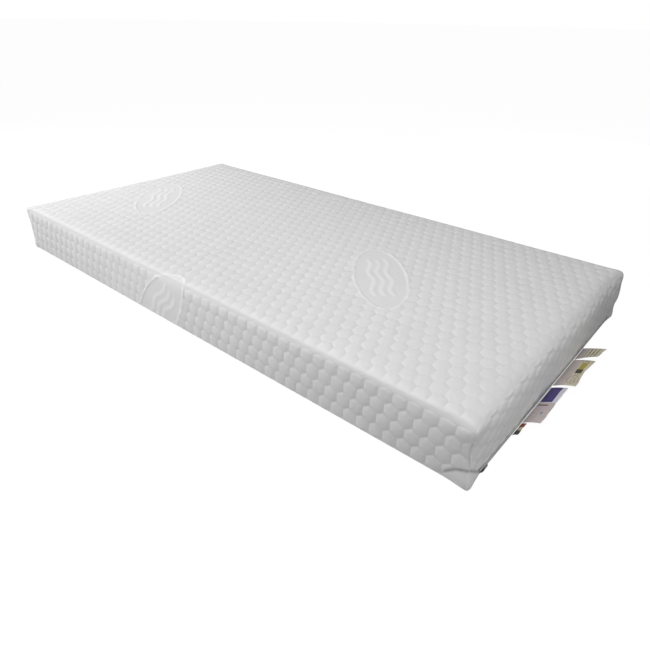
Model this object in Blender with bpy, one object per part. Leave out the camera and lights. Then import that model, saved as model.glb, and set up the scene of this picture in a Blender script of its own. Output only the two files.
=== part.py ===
"""A pressure relief mattress: foam layers in an inner sleeve, inside a padded knit cover.

The cover opens with a zip along the lower edge of its foot end (+X), where four sewn-in
labels stand out. The origin is the centre of the underside, +Z is up, and sizes are in metres.
"""

import math

import bmesh
import bpy
from mathutils import Vector

# The whole mattress
LENGTH = 2.0
WIDTH = 1.0
HEIGHT = 0.17
HALF_X = LENGTH / 2
HALF_Y = WIDTH / 2
GAP = 0.0003

# The cover: a knit face over a thin wadding, rounded along every edge
CORNER_RADIUS = 0.024
TOP_RADIUS = 0.018
BOTTOM_RADIUS = 0.010
ARC_STEPS = 6
KNIT_THICKNESS = 0.0025
WADDING_THICKNESS = 0.006
RIM_INSET = 0.016
BASE_THICKNESS = 0.0025
BINDING_WIDTH = 0.012
BINDING_THICKNESS = 0.001
CORNER_SEAM_WIDTH = 0.002
CORNER_SEAM_DEPTH = 0.001
CORNER_SEAM_BOTTOM = 0.012
CORNER_SEAM_TOP = HEIGHT - TOP_RADIUS - 0.002

# The zip at the foot of the +X end, under the rolled lip of the cover
ZIP_HALF_LENGTH = 0.4375
ZIP_Z = 0.0085
SLOT_HALF_WIDTH = 0.4515
LIP_BOTTOM = 0.0155
LIP_TOP = 0.0215
SLOT_CUT = 0.03
TAPE_FRONT = HALF_X - 0.0030
TAPE_THICKNESS = 0.0008
TAPE_SPLIT = 0.002
TAPE_CLEARANCE = 0.0004
LIP_BACK = TAPE_FRONT + TAPE_CLEARANCE
LIP_FRONT = HALF_X + 0.0032
BASE_TONGUE_X = TAPE_FRONT + 0.0005
TAPE_HALF_LENGTH = 0.448
UPPER_TAPE_TOP = 0.0300
LOWER_TAPE_BOTTOM = BASE_THICKNESS + GAP
CHAIN_BACK = TAPE_FRONT + GAP
CHAIN_DEPTH = 0.0022
CHAIN_HEIGHT = 0.0026
CHAIN_SPLIT = 0.0014
TOOTH_PITCH = 0.007
STOP_LENGTH = 0.0022

# The slider and its pull tab
SLIDER_LENGTH = 0.010
SLIDER_HEIGHT = 0.009
SLIDER_PLATE = 0.0014
FLANGE_HEIGHT = 0.0008
POST_LENGTH = 0.002
POST_HEIGHT = 0.001
SLIDER_REST_Y = -0.432
BRIDGE_HALF_SPAN = 0.0042
BRIDGE_LEG = 0.0010
BRIDGE_RISE = 0.0022
BRIDGE_TOP = 0.0006
BRIDGE_WIDTH = 0.0020
TAB_LENGTH = 0.022
TAB_WIDTH = 0.006
TAB_THICKNESS = 0.0008
TAB_HOLE_LENGTH = 0.0056
TAB_HOLE_WIDTH = 0.0034
TAB_BAR = 0.0004

# The sewn-in labels, hinged on their seam just outside the lip
LABEL_HINGE_X = HALF_X + 0.0036
LABEL_HINGE_Z = 0.0150
LABEL_THICKNESS = 0.0004
LABEL_ROOT_GAP = 0.0004
TACK_LENGTH = 0.004
TACK_DEPTH = 0.0004
TACK_HEIGHT = 0.0012
TACK_BOTTOM = LIP_BOTTOM + 0.0024
TACK_INSET = 0.008

# The foam inside
CORE_SIDE_CLEARANCE = 0.006
CORE_TOP_CLEARANCE = 0.003
SLEEVE_THICKNESS = 0.0008
SLEEVE_MOUTH = 0.02
FOAM_CLEARANCE = 0.0005
MEMORY_THICKNESS = 0.055
MEMORY_CELL = 0.120
MEMORY_SLIT = 0.006
MEMORY_SLIT_DEPTH = 0.035
MEMORY_BORDER = 0.035
RAIL_WIDTH = 0.080
CHANNEL_WIDTH = 0.008
CHANNEL_DEPTH = 0.035
CHANNEL_PITCHES = (0.070, 0.045, 0.070, 0.045, 0.070, 0.045, 0.070)

WHITE_KNIT = (0.86, 0.86, 0.87)
WHITE_FIBRE = (0.92, 0.92, 0.92)
BASE_GREY = (0.62, 0.63, 0.65)
ZIP_GREY = (0.75, 0.75, 0.76)
METAL = (0.60, 0.60, 0.62)
CREAM = (0.80, 0.74, 0.60)
BEIGE = (0.76, 0.69, 0.60)
BLUE = (0.10, 0.07, 0.33)
RED_TAB = (0.62, 0.10, 0.07)
MEMORY_FOAM = (0.93, 0.90, 0.78)
SUPPORT_FOAM = (0.70, 0.82, 0.90)
RAIL_FOAM = (0.60, 0.66, 0.72)


def material(name, colour, roughness, metallic=0.0):
    """A plain Principled material, made once for each name."""
    found = bpy.data.materials.get(name)
    if found:
        return found
    made = bpy.data.materials.new(name)
    made.use_nodes = True
    shader = made.node_tree.nodes["Principled BSDF"]
    shader.inputs["Base Color"].default_value = (*colour, 1.0)
    shader.inputs["Roughness"].default_value = roughness
    shader.inputs["Metallic"].default_value = metallic
    return made


def finish(name, mesh_builder, finish_material, smooth_degrees=40):
    """Turns a bmesh into a named object with outward faces and one material."""
    bmesh.ops.recalc_face_normals(mesh_builder, faces=mesh_builder.faces)
    mesh = bpy.data.meshes.new(name)
    mesh_builder.to_mesh(mesh)
    mesh_builder.free()
    mesh.materials.append(finish_material)
    mesh.shade_smooth()
    mesh.set_sharp_from_angle(angle=math.radians(smooth_degrees))
    made = bpy.data.objects.new(name, mesh)
    bpy.context.scene.collection.objects.link(made)
    return made


def box_builder(low, high):
    """A bmesh box between two corners."""
    low, high = Vector(low), Vector(high)
    builder = bmesh.new()
    bmesh.ops.create_cube(builder, size=1.0)
    size = high - low
    bmesh.ops.scale(builder, vec=size, verts=builder.verts)
    bmesh.ops.translate(builder, vec=(low + high) / 2, verts=builder.verts)
    return builder


def box_object(name, low, high, finish_material, bevel=0.0, segments=2):
    """A box between two corners, with rounded edges where bevel is given."""
    builder = box_builder(low, high)
    if bevel:
        bmesh.ops.bevel(builder, geom=builder.edges[:], offset=bevel, segments=segments,
                        affect="EDGES", profile=0.5)
    return finish(name, builder, finish_material)


def prism_builder(outline, axis, start, end):
    """Extrudes a closed outline along axis (0, 1 or 2) from start to end.

    The outline's two numbers are the other two axes, in X, Y, Z order.
    """
    builder = bmesh.new()
    others = [i for i in range(3) if i != axis]

    def place(pair, along):
        point = Vector((0, 0, 0))
        point[others[0]], point[others[1]] = pair
        point[axis] = along
        return builder.verts.new(point)

    first = [place(pair, start) for pair in outline]
    last = [place(pair, end) for pair in outline]
    builder.faces.new(first)
    builder.faces.new(reversed(last))
    count = len(outline)
    for i in range(count):
        j = (i + 1) % count
        builder.faces.new((first[i], last[i], last[j], first[j]))
    return builder


def rounded_rectangle(half_x, half_y, radius, z):
    """Points round a rectangle with round corners, at height z."""
    points = []
    for corner, (sign_x, sign_y) in enumerate(((1, 1), (-1, 1), (-1, -1), (1, -1))):
        centre = Vector((sign_x * (half_x - radius), sign_y * (half_y - radius), z))
        for step in range(ARC_STEPS + 1):
            angle = math.radians(90) * (corner + step / ARC_STEPS)
            points.append(centre + radius * Vector((math.cos(angle), math.sin(angle), 0)))
    return points


def loft_builder(loops):
    """A closed body through a list of point loops, capped at both ends."""
    builder = bmesh.new()
    rings = [[builder.verts.new(point) for point in loop] for loop in loops]
    for lower, upper in zip(rings, rings[1:]):
        count = len(lower)
        for i in range(count):
            j = (i + 1) % count
            builder.faces.new((lower[i], lower[j], upper[j], upper[i]))
    builder.faces.new(rings[0])
    builder.faces.new(rings[-1])
    return builder


def skin_profile(depth):
    """(inset, height) pairs up the side of the cover, at a depth below its outer face."""
    pairs = [(RIM_INSET, depth)]
    for step in range(ARC_STEPS + 1):
        angle = math.radians(90) * step / ARC_STEPS
        radius = BOTTOM_RADIUS - depth
        pairs.append((BOTTOM_RADIUS - radius * math.sin(angle),
                      BOTTOM_RADIUS - radius * math.cos(angle)))
    for step in range(ARC_STEPS + 1):
        angle = math.radians(90) * step / ARC_STEPS
        radius = TOP_RADIUS - depth
        pairs.append((TOP_RADIUS - radius * math.cos(angle),
                      HEIGHT - TOP_RADIUS + radius * math.sin(angle)))
    return pairs


def skin_loops(depth):
    """The cover's shape at a depth below its outer face, from the rim up to the top."""
    return [rounded_rectangle(HALF_X - inset, HALF_Y - inset, CORNER_RADIUS - inset, z)
            for inset, z in skin_profile(depth)]


def layer_builder(outer_depth, inner_depth):
    """One fabric layer of the cover: top and walls, open underneath."""
    return loft_builder(list(reversed(skin_loops(inner_depth))) + skin_loops(outer_depth))


def cut(target, low, high):
    """Cuts a box out of an object with a Boolean modifier."""
    cutter = box_object("cutter_" + target.name, low, high, target.data.materials[0])
    cutter.hide_render = True
    cutter.display_type = "WIRE"
    modifier = target.modifiers.new("slot", "BOOLEAN")
    modifier.operation = "DIFFERENCE"
    modifier.solver = "EXACT"
    modifier.object = cutter


def make_cover():
    """The knit face, its wadding, the base panel and the binding round the base."""
    knit = finish("cover_knit_face", layer_builder(0, KNIT_THICKNESS),
                  material("knit", WHITE_KNIT, 0.85))
    cut(knit, (HALF_X - SLOT_CUT, -SLOT_HALF_WIDTH, -SLOT_CUT),
        (HALF_X + SLOT_CUT, SLOT_HALF_WIDTH, LIP_TOP + GAP))

    wadding_outer = KNIT_THICKNESS + GAP
    wadding = finish("cover_fibre_wadding",
                     layer_builder(wadding_outer, wadding_outer + WADDING_THICKNESS),
                     material("wadding", WHITE_FIBRE, 0.95))
    cut(wadding, (HALF_X - SLOT_CUT, -SLOT_HALF_WIDTH, -SLOT_CUT),
        (HALF_X + SLOT_CUT, SLOT_HALF_WIDTH, UPPER_TAPE_TOP + GAP))

    inset = RIM_INSET + GAP
    outline = rounded_rectangle(HALF_X - inset, HALF_Y - inset, CORNER_RADIUS - inset, 0)
    pairs = [(point.x, point.y) for point in outline]
    tongue_y = SLOT_HALF_WIDTH - GAP
    tongue = [(HALF_X - inset, -tongue_y), (BASE_TONGUE_X, -tongue_y),
              (BASE_TONGUE_X, tongue_y), (HALF_X - inset, tongue_y)]
    finish("cover_base_panel", prism_builder(pairs + tongue, 2, 0, BASE_THICKNESS),
           material("base", BASE_GREY, 0.9))

    bottom = BASE_THICKNESS + WADDING_THICKNESS + 2 * GAP
    outer_x, outer_y = HALF_X - RIM_INSET, HALF_Y - RIM_INSET
    inner_x, inner_y = outer_x - BINDING_WIDTH, outer_y - BINDING_WIDTH
    strip = [(inner_x, outer_y), (-outer_x, outer_y), (-outer_x, -outer_y), (inner_x, -outer_y),
             (inner_x, -inner_y), (-inner_x, -inner_y), (-inner_x, inner_y), (inner_x, inner_y)]
    finish("base_seam_binding", prism_builder(strip, 2, bottom, bottom + BINDING_THICKNESS),
           material("binding", WHITE_FIBRE, 0.8))


def make_corner_seams():
    """A raised sewn ridge down each vertical corner of the cover."""
    for end, sign_x in (("head", -1), ("foot", 1)):
        for side, sign_y in (("right", -1), ("left", 1)):
            inner = CORNER_RADIUS + GAP
            seam = box_object(f"corner_seam_{end}_{side}",
                              (inner, -CORNER_SEAM_WIDTH / 2, CORNER_SEAM_BOTTOM),
                              (inner + CORNER_SEAM_DEPTH, CORNER_SEAM_WIDTH / 2, CORNER_SEAM_TOP),
                              material("seam", WHITE_KNIT, 0.8), bevel=0.0003, segments=1)
            seam.location = (sign_x * (HALF_X - CORNER_RADIUS),
                             sign_y * (HALF_Y - CORNER_RADIUS), 0)
            seam.rotation_euler.z = math.atan2(sign_y, sign_x)


def make_lip():
    """The rolled hem that shields the zip: a flat back and a half-round front."""
    middle = (LIP_TOP + LIP_BOTTOM) / 2
    radius = (LIP_TOP - LIP_BOTTOM) / 2
    centre_x = LIP_FRONT - radius
    outline = [(LIP_BACK, LIP_BOTTOM)]
    for step in range(9):
        angle = math.radians(-90 + 180 * step / 8)
        outline.append((centre_x + radius * math.cos(angle), middle + radius * math.sin(angle)))
    outline.append((LIP_BACK, LIP_TOP))
    end = SLOT_HALF_WIDTH - GAP
    finish("zip_guard_lip", prism_builder(outline, 1, -end, end), material("lip", WHITE_KNIT, 0.8))


def chain_outline(sign):
    """One half of the zip chain seen from the front: a strip with square teeth on its inner edge."""
    inner = ZIP_Z + sign * CHAIN_SPLIT / 2
    root = inner + sign * CHAIN_HEIGHT * 0.4
    outer = inner + sign * CHAIN_HEIGHT
    points = [(-ZIP_HALF_LENGTH, outer)]
    teeth = int(2 * ZIP_HALF_LENGTH / TOOTH_PITCH)
    for tooth in range(teeth):
        start = -ZIP_HALF_LENGTH + tooth * TOOTH_PITCH
        points += [(start, inner), (start + TOOTH_PITCH / 2, inner),
                   (start + TOOTH_PITCH / 2, root), (start + TOOTH_PITCH, root)]
    points += [(ZIP_HALF_LENGTH, outer)]
    return points


def make_zip():
    """Two tapes, two chain halves and the stops at their ends."""
    tape = material("zip_tape", ZIP_GREY, 0.8)
    chain = material("zip_chain", ZIP_GREY, 0.4)
    metal = material("zip_metal", METAL, 0.35, 1.0)
    back = TAPE_FRONT - TAPE_THICKNESS
    box_object("zip_tape_upper", (back, -TAPE_HALF_LENGTH, ZIP_Z + TAPE_SPLIT / 2),
               (TAPE_FRONT, TAPE_HALF_LENGTH, UPPER_TAPE_TOP), tape)
    box_object("zip_tape_lower", (back, -TAPE_HALF_LENGTH, LOWER_TAPE_BOTTOM),
               (TAPE_FRONT, TAPE_HALF_LENGTH, ZIP_Z - TAPE_SPLIT / 2), tape)
    for name, sign in (("upper", 1), ("lower", -1)):
        finish(f"zip_chain_{name}",
               prism_builder(chain_outline(sign), 0, CHAIN_BACK, CHAIN_BACK + CHAIN_DEPTH), chain)

    stop_start = ZIP_HALF_LENGTH + GAP
    half_height = CHAIN_SPLIT / 2 + CHAIN_HEIGHT
    for name, sign in (("upper", 1), ("lower", -1)):
        low, high = sorted((ZIP_Z + sign * CHAIN_SPLIT / 2, ZIP_Z + sign * half_height))
        box_object(f"zip_top_stop_{name}", (CHAIN_BACK, -stop_start - STOP_LENGTH, low),
                   (CHAIN_BACK + CHAIN_DEPTH, -stop_start, high), metal)
    box_object("zip_bottom_stop", (CHAIN_BACK, stop_start, ZIP_Z - half_height),
               (CHAIN_BACK + CHAIN_DEPTH, stop_start + STOP_LENGTH, ZIP_Z + half_height), metal)


def make_slider():
    """The slider, with plates in front and behind, and the pull tab in its bridge."""
    metal = material("zip_metal", METAL, 0.35, 1.0)
    plate_back = CHAIN_BACK + CHAIN_DEPTH + GAP
    plate_front = plate_back + SLIDER_PLATE
    rear_front = TAPE_FRONT - TAPE_THICKNESS - GAP
    rear_back = rear_front - SLIDER_PLATE
    half_y, half_z = SLIDER_LENGTH / 2, SLIDER_HEIGHT / 2
    flange_back = TAPE_FRONT + GAP
    post_y, post_z = POST_LENGTH / 2, POST_HEIGHT / 2

    across = [(flange_back, half_z), (plate_front, half_z), (plate_front, -half_z),
              (flange_back, -half_z), (flange_back, -half_z + FLANGE_HEIGHT),
              (plate_back, -half_z + FLANGE_HEIGHT), (plate_back, half_z - FLANGE_HEIGHT),
              (flange_back, half_z - FLANGE_HEIGHT)]
    slider = finish("zip_slider", prism_builder(across, 1, -half_y, half_y), metal)

    overlap = SLIDER_PLATE / 2
    span, rise = BRIDGE_HALF_SPAN, BRIDGE_RISE
    crown = plate_front + rise - BRIDGE_TOP
    bridge = [(plate_back + overlap, -span), (plate_front + rise, -span), (plate_front + rise, span),
              (plate_back + overlap, span), (plate_back + overlap, span - BRIDGE_LEG),
              (crown, span - BRIDGE_LEG), (crown, -span + BRIDGE_LEG),
              (plate_back + overlap, -span + BRIDGE_LEG)]
    pieces = (
        ("post", box_builder((rear_front - overlap, -post_y, -post_z),
                             (plate_back + overlap, post_y, post_z))),
        ("rear", box_builder((rear_back, -half_y, -half_z), (rear_front, half_y, half_z))),
        ("bridge", prism_builder(bridge, 2, -BRIDGE_WIDTH / 2, BRIDGE_WIDTH / 2)),
    )
    for label, builder in pieces:
        part = finish("guide_slider_" + label, builder, metal)
        part.hide_render = True
        part.display_type = "WIRE"
        part.parent = slider
        union = slider.modifiers.new(label, "BOOLEAN")
        union.operation = "UNION"
        union.solver = "EXACT"
        union.object = part
    slider.location = (0, SLIDER_REST_Y, ZIP_Z)

    hinge_x = plate_front + (rise - BRIDGE_TOP) / 2
    half_t = TAB_THICKNESS / 2
    hole_start, hole_end = TAB_BAR, TAB_BAR + TAB_HOLE_LENGTH
    half_w, half_hole = TAB_WIDTH / 2, TAB_HOLE_WIDTH / 2
    round_centre = TAB_LENGTH - half_w
    outline = [(-TAB_BAR, half_w), (-TAB_BAR, -half_w)]
    for step in range(9):
        angle = math.radians(-90 + 180 * step / 8)
        outline.append((round_centre + half_w * math.cos(angle), half_w * math.sin(angle)))
    tab = finish("zip_pull_tab", prism_builder(outline, 0, -half_t, half_t), metal)
    tab.location = (hinge_x, SLIDER_REST_Y, ZIP_Z)
    hole = box_object("cutter_pull_tab", (-TAB_WIDTH, hole_start, -half_hole),
                      (TAB_WIDTH, hole_end, half_hole), metal)
    hole.hide_render = True
    hole.display_type = "WIRE"
    hole.parent = tab
    window = tab.modifiers.new("window", "BOOLEAN")
    window.operation = "DIFFERENCE"
    window.solver = "EXACT"
    window.object = hole


def label_object(name, near_y, far_y, length, tilt, colour, wave=0.0):
    """A flat woven label. Its origin is on its seam, and tilt lifts its free edge."""
    steps = 8 if wave else 1
    free = []
    for step in range(steps + 1):
        share = step / steps
        reach = length - wave * (0.5 - 0.5 * math.cos(2 * math.pi * share))
        free.append((reach, (far_y - near_y) * share))
    outline = [(LABEL_ROOT_GAP, 0.0)] + free + [(LABEL_ROOT_GAP, far_y - near_y)]
    half = LABEL_THICKNESS / 2
    label = finish(name, prism_builder(outline, 2, -half, half), material(name, colour, 0.7))
    label.location = (LABEL_HINGE_X, near_y, LABEL_HINGE_Z)
    label.rotation_euler.y = -math.radians(tilt)
    return label


def make_labels():
    """Four labels, and the bar tacks that hold their ends to the lip."""
    spans = (
        ("label_care", 0.129, 0.207, 0.066, 26, CREAM, 0.0),
        ("label_size", -0.035, 0.126, 0.060, 22, BEIGE, 0.006),
        ("label_maker", -0.232, -0.047, 0.046, 26, BLUE, 0.0),
        ("label_origin_tab", -0.290, -0.235, 0.022, 28, RED_TAB, 0.0),
    )
    for name, near_y, far_y, length, tilt, colour, wave in spans:
        label_object(name, near_y, far_y, length, tilt, colour, wave)
        for end, y in (("near", near_y + TACK_INSET), ("far", far_y - TACK_INSET)):
            box_object(f"bar_tack_{name[6:]}_{end}",
                       (LIP_FRONT + GAP, y - TACK_LENGTH / 2, TACK_BOTTOM),
                       (LIP_FRONT + GAP + TACK_DEPTH, y + TACK_LENGTH / 2, TACK_BOTTOM + TACK_HEIGHT),
                       material("thread", WHITE_FIBRE, 0.6))


def slit_lines(half):
    """Grid lines across one direction of the memory foam: border, cells and slits in turn."""
    inner = half - MEMORY_BORDER
    cells = round((2 * inner + MEMORY_SLIT) / (MEMORY_CELL + MEMORY_SLIT))
    cell = (2 * inner - (cells - 1) * MEMORY_SLIT) / cells
    lines, slits = [-half], []
    position = -inner
    for index in range(cells - 1):
        position += cell
        slits.append(len(lines))
        lines += [position, position + MEMORY_SLIT]
        position += MEMORY_SLIT
    lines.append(half)
    return lines, set(slits)


def memory_foam_builder(half_x, half_y, bottom, top):
    """The memory foam: relief slits cut in a grid from above, inside an uncut border."""
    lines_x, slits_x = slit_lines(half_x)
    lines_y, slits_y = slit_lines(half_y)
    floor = top - MEMORY_SLIT_DEPTH
    end_x, end_y = half_x - MEMORY_BORDER, half_y - MEMORY_BORDER
    lines_x = [lines_x[0], -end_x] + lines_x[1:-1] + [end_x, lines_x[-1]]
    lines_y = [lines_y[0], -end_y] + lines_y[1:-1] + [end_y, lines_y[-1]]
    slits_x = {index + 1 for index in slits_x}
    slits_y = {index + 1 for index in slits_y}
    last_x, last_y = len(lines_x) - 2, len(lines_y) - 2

    def is_slit(i, j):
        inside = 0 < i < last_x and 0 < j < last_y
        return inside and (i in slits_x or j in slits_y)

    builder = bmesh.new()
    points = {}

    def point(i, j, z):
        key = (i, j, z)
        if key not in points:
            points[key] = builder.verts.new((lines_x[i], lines_y[j], z))
        return points[key]

    for i in range(last_x + 1):
        for j in range(last_y + 1):
            z = floor if is_slit(i, j) else top
            builder.faces.new((point(i, j, z), point(i + 1, j, z),
                               point(i + 1, j + 1, z), point(i, j + 1, z)))
            for next_i, next_j, start, end in ((i + 1, j, (i + 1, j), (i + 1, j + 1)),
                                               (i, j + 1, (i, j + 1), (i + 1, j + 1))):
                if next_i > last_x or next_j > last_y:
                    continue
                if is_slit(i, j) != is_slit(next_i, next_j):
                    builder.faces.new((point(*start, floor), point(*end, floor),
                                       point(*end, top), point(*start, top)))
    edge = [(i, 0) for i in range(last_x + 2)]
    edge += [(last_x + 1, j) for j in range(1, last_y + 2)]
    edge += [(i, last_y + 1) for i in range(last_x, -1, -1)]
    edge += [(0, j) for j in range(last_y, 0, -1)]
    count = len(edge)
    for index in range(count):
        start, end = edge[index], edge[(index + 1) % count]
        builder.faces.new((point(*start, bottom), point(*end, bottom),
                           point(*end, top), point(*start, top)))
    builder.faces.new([point(i, j, bottom) for i, j in edge])
    return builder


def support_outline(half_x, bottom, top):
    """The support core seen from the side: zones of cross channels, closer under the body."""
    zone = 2 * half_x / len(CHANNEL_PITCHES)
    points = [(-half_x, bottom), (-half_x, top)]
    for index, pitch in enumerate(CHANNEL_PITCHES):
        start = -half_x + index * zone
        channels = int(zone / pitch)
        for channel in range(channels):
            middle = start + zone * (channel + 0.5) / channels
            left, right = middle - CHANNEL_WIDTH / 2, middle + CHANNEL_WIDTH / 2
            points += [(left, top), (left, top - CHANNEL_DEPTH),
                       (right, top - CHANNEL_DEPTH), (right, top)]
    points += [(half_x, top), (half_x, bottom)]
    return points


def make_core():
    """The foam layers and the knitted sleeve that holds them together."""
    depth = KNIT_THICKNESS + WADDING_THICKNESS + 2 * GAP
    half_x, half_y = HALF_X - depth - CORE_SIDE_CLEARANCE, HALF_Y - depth - CORE_SIDE_CLEARANCE
    bottom = BASE_THICKNESS + WADDING_THICKNESS + BINDING_THICKNESS + 3 * GAP
    top = HEIGHT - depth - CORE_TOP_CLEARANCE
    wall = SLEEVE_THICKNESS
    sleeve = box_object("core_sleeve", (-half_x, -half_y, bottom), (half_x, half_y, top),
                        material("sleeve", WHITE_FIBRE, 0.9))
    cut(sleeve, (-half_x - SLEEVE_MOUTH, -half_y + wall, bottom + wall),
        (half_x - wall, half_y - wall, top - wall))

    margin = wall + FOAM_CLEARANCE
    foam_x, foam_y = half_x - margin, half_y - margin
    foam_bottom, foam_top = bottom + margin, top - margin
    joint_z = foam_top - MEMORY_THICKNESS
    finish("foam_memory_layer", memory_foam_builder(foam_x, foam_y, joint_z, foam_top),
           material("memory_foam", MEMORY_FOAM, 0.9))
    core_y = foam_y - RAIL_WIDTH
    outline = support_outline(foam_x, foam_bottom, joint_z - GAP)
    finish("foam_support_core", prism_builder(outline, 1, -core_y, core_y),
           material("support_foam", SUPPORT_FOAM, 0.9))
    for side, sign in (("right", -1), ("left", 1)):
        near, far = sorted((sign * (core_y + GAP), sign * foam_y))
        box_object(f"foam_side_rail_{side}", (-foam_x, near, foam_bottom),
                   (foam_x, far, joint_z - GAP), material("rail_foam", RAIL_FOAM, 0.9))


def main():
    for existing in list(bpy.data.objects):
        bpy.data.objects.remove(existing)
    make_cover()
    make_corner_seams()
    make_lip()
    make_zip()
    make_slider()
    make_labels()
    make_core()


main()
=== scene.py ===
"""The looks of the pressure relief mattress: its knit cover, zip, labels and foam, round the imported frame."""

import math

import bmesh
import bpy
import numpy as np
from mathutils import Matrix, Vector


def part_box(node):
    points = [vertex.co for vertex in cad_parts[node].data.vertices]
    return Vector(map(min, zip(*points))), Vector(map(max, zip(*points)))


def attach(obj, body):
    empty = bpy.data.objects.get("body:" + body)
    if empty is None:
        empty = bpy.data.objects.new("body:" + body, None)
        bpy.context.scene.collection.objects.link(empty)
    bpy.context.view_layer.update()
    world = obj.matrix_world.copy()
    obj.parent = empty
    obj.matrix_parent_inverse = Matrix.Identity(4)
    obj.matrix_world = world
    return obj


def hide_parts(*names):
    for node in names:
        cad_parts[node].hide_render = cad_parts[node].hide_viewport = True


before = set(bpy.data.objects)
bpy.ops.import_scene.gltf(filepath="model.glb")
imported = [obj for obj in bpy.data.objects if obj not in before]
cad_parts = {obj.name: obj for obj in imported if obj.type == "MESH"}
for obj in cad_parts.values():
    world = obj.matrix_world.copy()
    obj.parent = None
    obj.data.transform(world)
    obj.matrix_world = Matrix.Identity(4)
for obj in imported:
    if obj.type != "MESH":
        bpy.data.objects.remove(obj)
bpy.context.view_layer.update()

# The cover's size comes from the frame
COVER_LOW, COVER_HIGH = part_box("cover_knit_face")
LIP_LOW, LIP_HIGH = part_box("zip_guard_lip")
HALF_X, HALF_Y, HEIGHT = COVER_HIGH.x, COVER_HIGH.y, COVER_HIGH.z
SLOT_HALF = LIP_HIGH.y + 0.0003
SLOT_TOP = LIP_HIGH.z + 0.0009

# How round the cover is, across and at its upper and lower edges
ROUND = 0.013
ROUND_TOP = 0.013
ROUND_BOTTOM = 0.003
FOOT_ROUND = 0.024
FOOT_ROUND_TOP = 0.046
EDGE_LINES = (0.0, 0.004, 0.013)
ARC = ROUND * math.pi / 4

# Where the CAD places its neighbours
BASE_LOW, BASE_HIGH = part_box("cover_base_panel")
SLEEVE_LOW, SLEEVE_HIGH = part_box("core_sleeve")

# The cloth grid before and after subdivision
CELLS_X = 150
CELLS_SLOT = 35
CELLS_BESIDE = 4
CELLS_WALL = 10
SUBDIVISIONS = 2
RIM = 0.016

# The knit pattern, in metres of cloth
HEX_PITCH = 0.0394
HEX_ROW = 0.0397
HEX_OFFSET_P = 0.0085
HEX_OFFSET_Q = -0.0423
HEX_SLIP = 0.0360
DOME_POWER = 2.8
DOME_MEAN = 0.583
RELIEF_TOP = 0.0012
RELIEF_SIDE = 0.0014
BUMP_TOP = 0.0009
BUMP_SIDE = 0.0011
OVAL_LONG = 0.207
OVAL_SHORT = 0.081
OVAL_TILT = math.radians(48)
OVAL_PITCH = 1.16
OVAL_FALLING = (0.45, -0.07)
OVAL_RISING = (-0.11, -0.637)
OVAL_ROWS = 1.207
OVAL_RIM = 0.0036
RIM_RELIEF_TOP = 0.0013
RIM_RELIEF_SIDE = 0.0018
WAVE_RELIEF = 0.0009
WAVE_LENGTH = 0.125
WAVE_HEIGHT = 0.0065
WAVE_GAP = 0.34
WAVE_OUTER = 0.0085
WAVE_INNER = 0.0045

# The cloth's swelling, and how far it may take a point
CLOTH_CAP = 0.0035
CLOTH_PRESSURE = 0.08
CLOTH_FRAMES = 20

# The layers behind the knit's face, as depths below it
LINING_DEPTH = 0.0026
WADDING_DEPTH = 0.0048
WADDING_THICKNESS = 0.0035
WADDING_LUMPS = 0.0004
SLEEVE_THICKNESS = 0.0006
SLEEVE_ROUND = 0.0015
BASE_MIDDLE = 0.0013
BASE_THICKNESS = 0.0012
BASE_CORNER = 0.008
BASE_SLACK = 0.0003

# Cut and broken edges
METAL_EDGE = 0.00025
BINDING_EDGE = 0.0004
METAL_EDGE_ANGLE = math.radians(35)
FOAM_EDGE_ANGLE = math.radians(40)
FOAM_SHARP_ANGLE = math.radians(35)

# Seams, stitches and teeth
SEAM_RADIUS = 0.0008
SEAM_SINK = 0.0016
SEAM_VALLEY = 0.0002
SEAM_STEP = 0.0008
SEAM_TWIST = 0.005
LIP_STEP = 0.0012
LIP_SLIM = 0.0006
LIP_SIDES = 14
LIP_PUCKER = 0.00022
SEAM_SIDES = 8
STITCH_PITCH = 0.0040
STITCH_SHARE = 0.72
STITCH_RADIUS = 0.00032
STITCH_RINGS = 7
STITCH_SIDES = 6
TACK_RADIUS = 0.00028
TACK_PITCH = 0.0004
TAPE_ROUND = 0.0003
TAPE_RIPPLE = 0.00012
TOOTH_PITCH = 0.0030

# The pulled fold at the near foot corner, and the far one's swelling
FOLD_LONG = 0.072
FOLD_SHORT = 0.050
FOLD_HEIGHT = 0.050
FOLD_WIDTH = 0.0040
FOLD_DEPTH = 0.0026
FOLD_SWELL = 0.0008
CORNER_SWELL = 0.008
SWELL_REACH = 0.10
CORNER_EAR = 0.005
EAR_REACH = 0.03

# The block's slow waves, and how near its faces they reach
TOP_WAVE = 0.0008
FLANK_WAVES = (0.0012, 0.0008)
END_WAVES = (0.0015, 0.0008)
WALL_EDGE = 0.035
WALL_SKIN = 0.025

# Where the pattern fades and slips at the top edge
SLIP_START = 0.004
SLIP_END = 0.016
SPREAD_LIMIT = 0.002
EDGE_FADE = 0.75

# The labels' seam
LABEL_SEAM_X = HALF_X + 0.0036
LABEL_SEAM_Z = 0.0150
LABEL_THICKNESS = 0.0004

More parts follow.
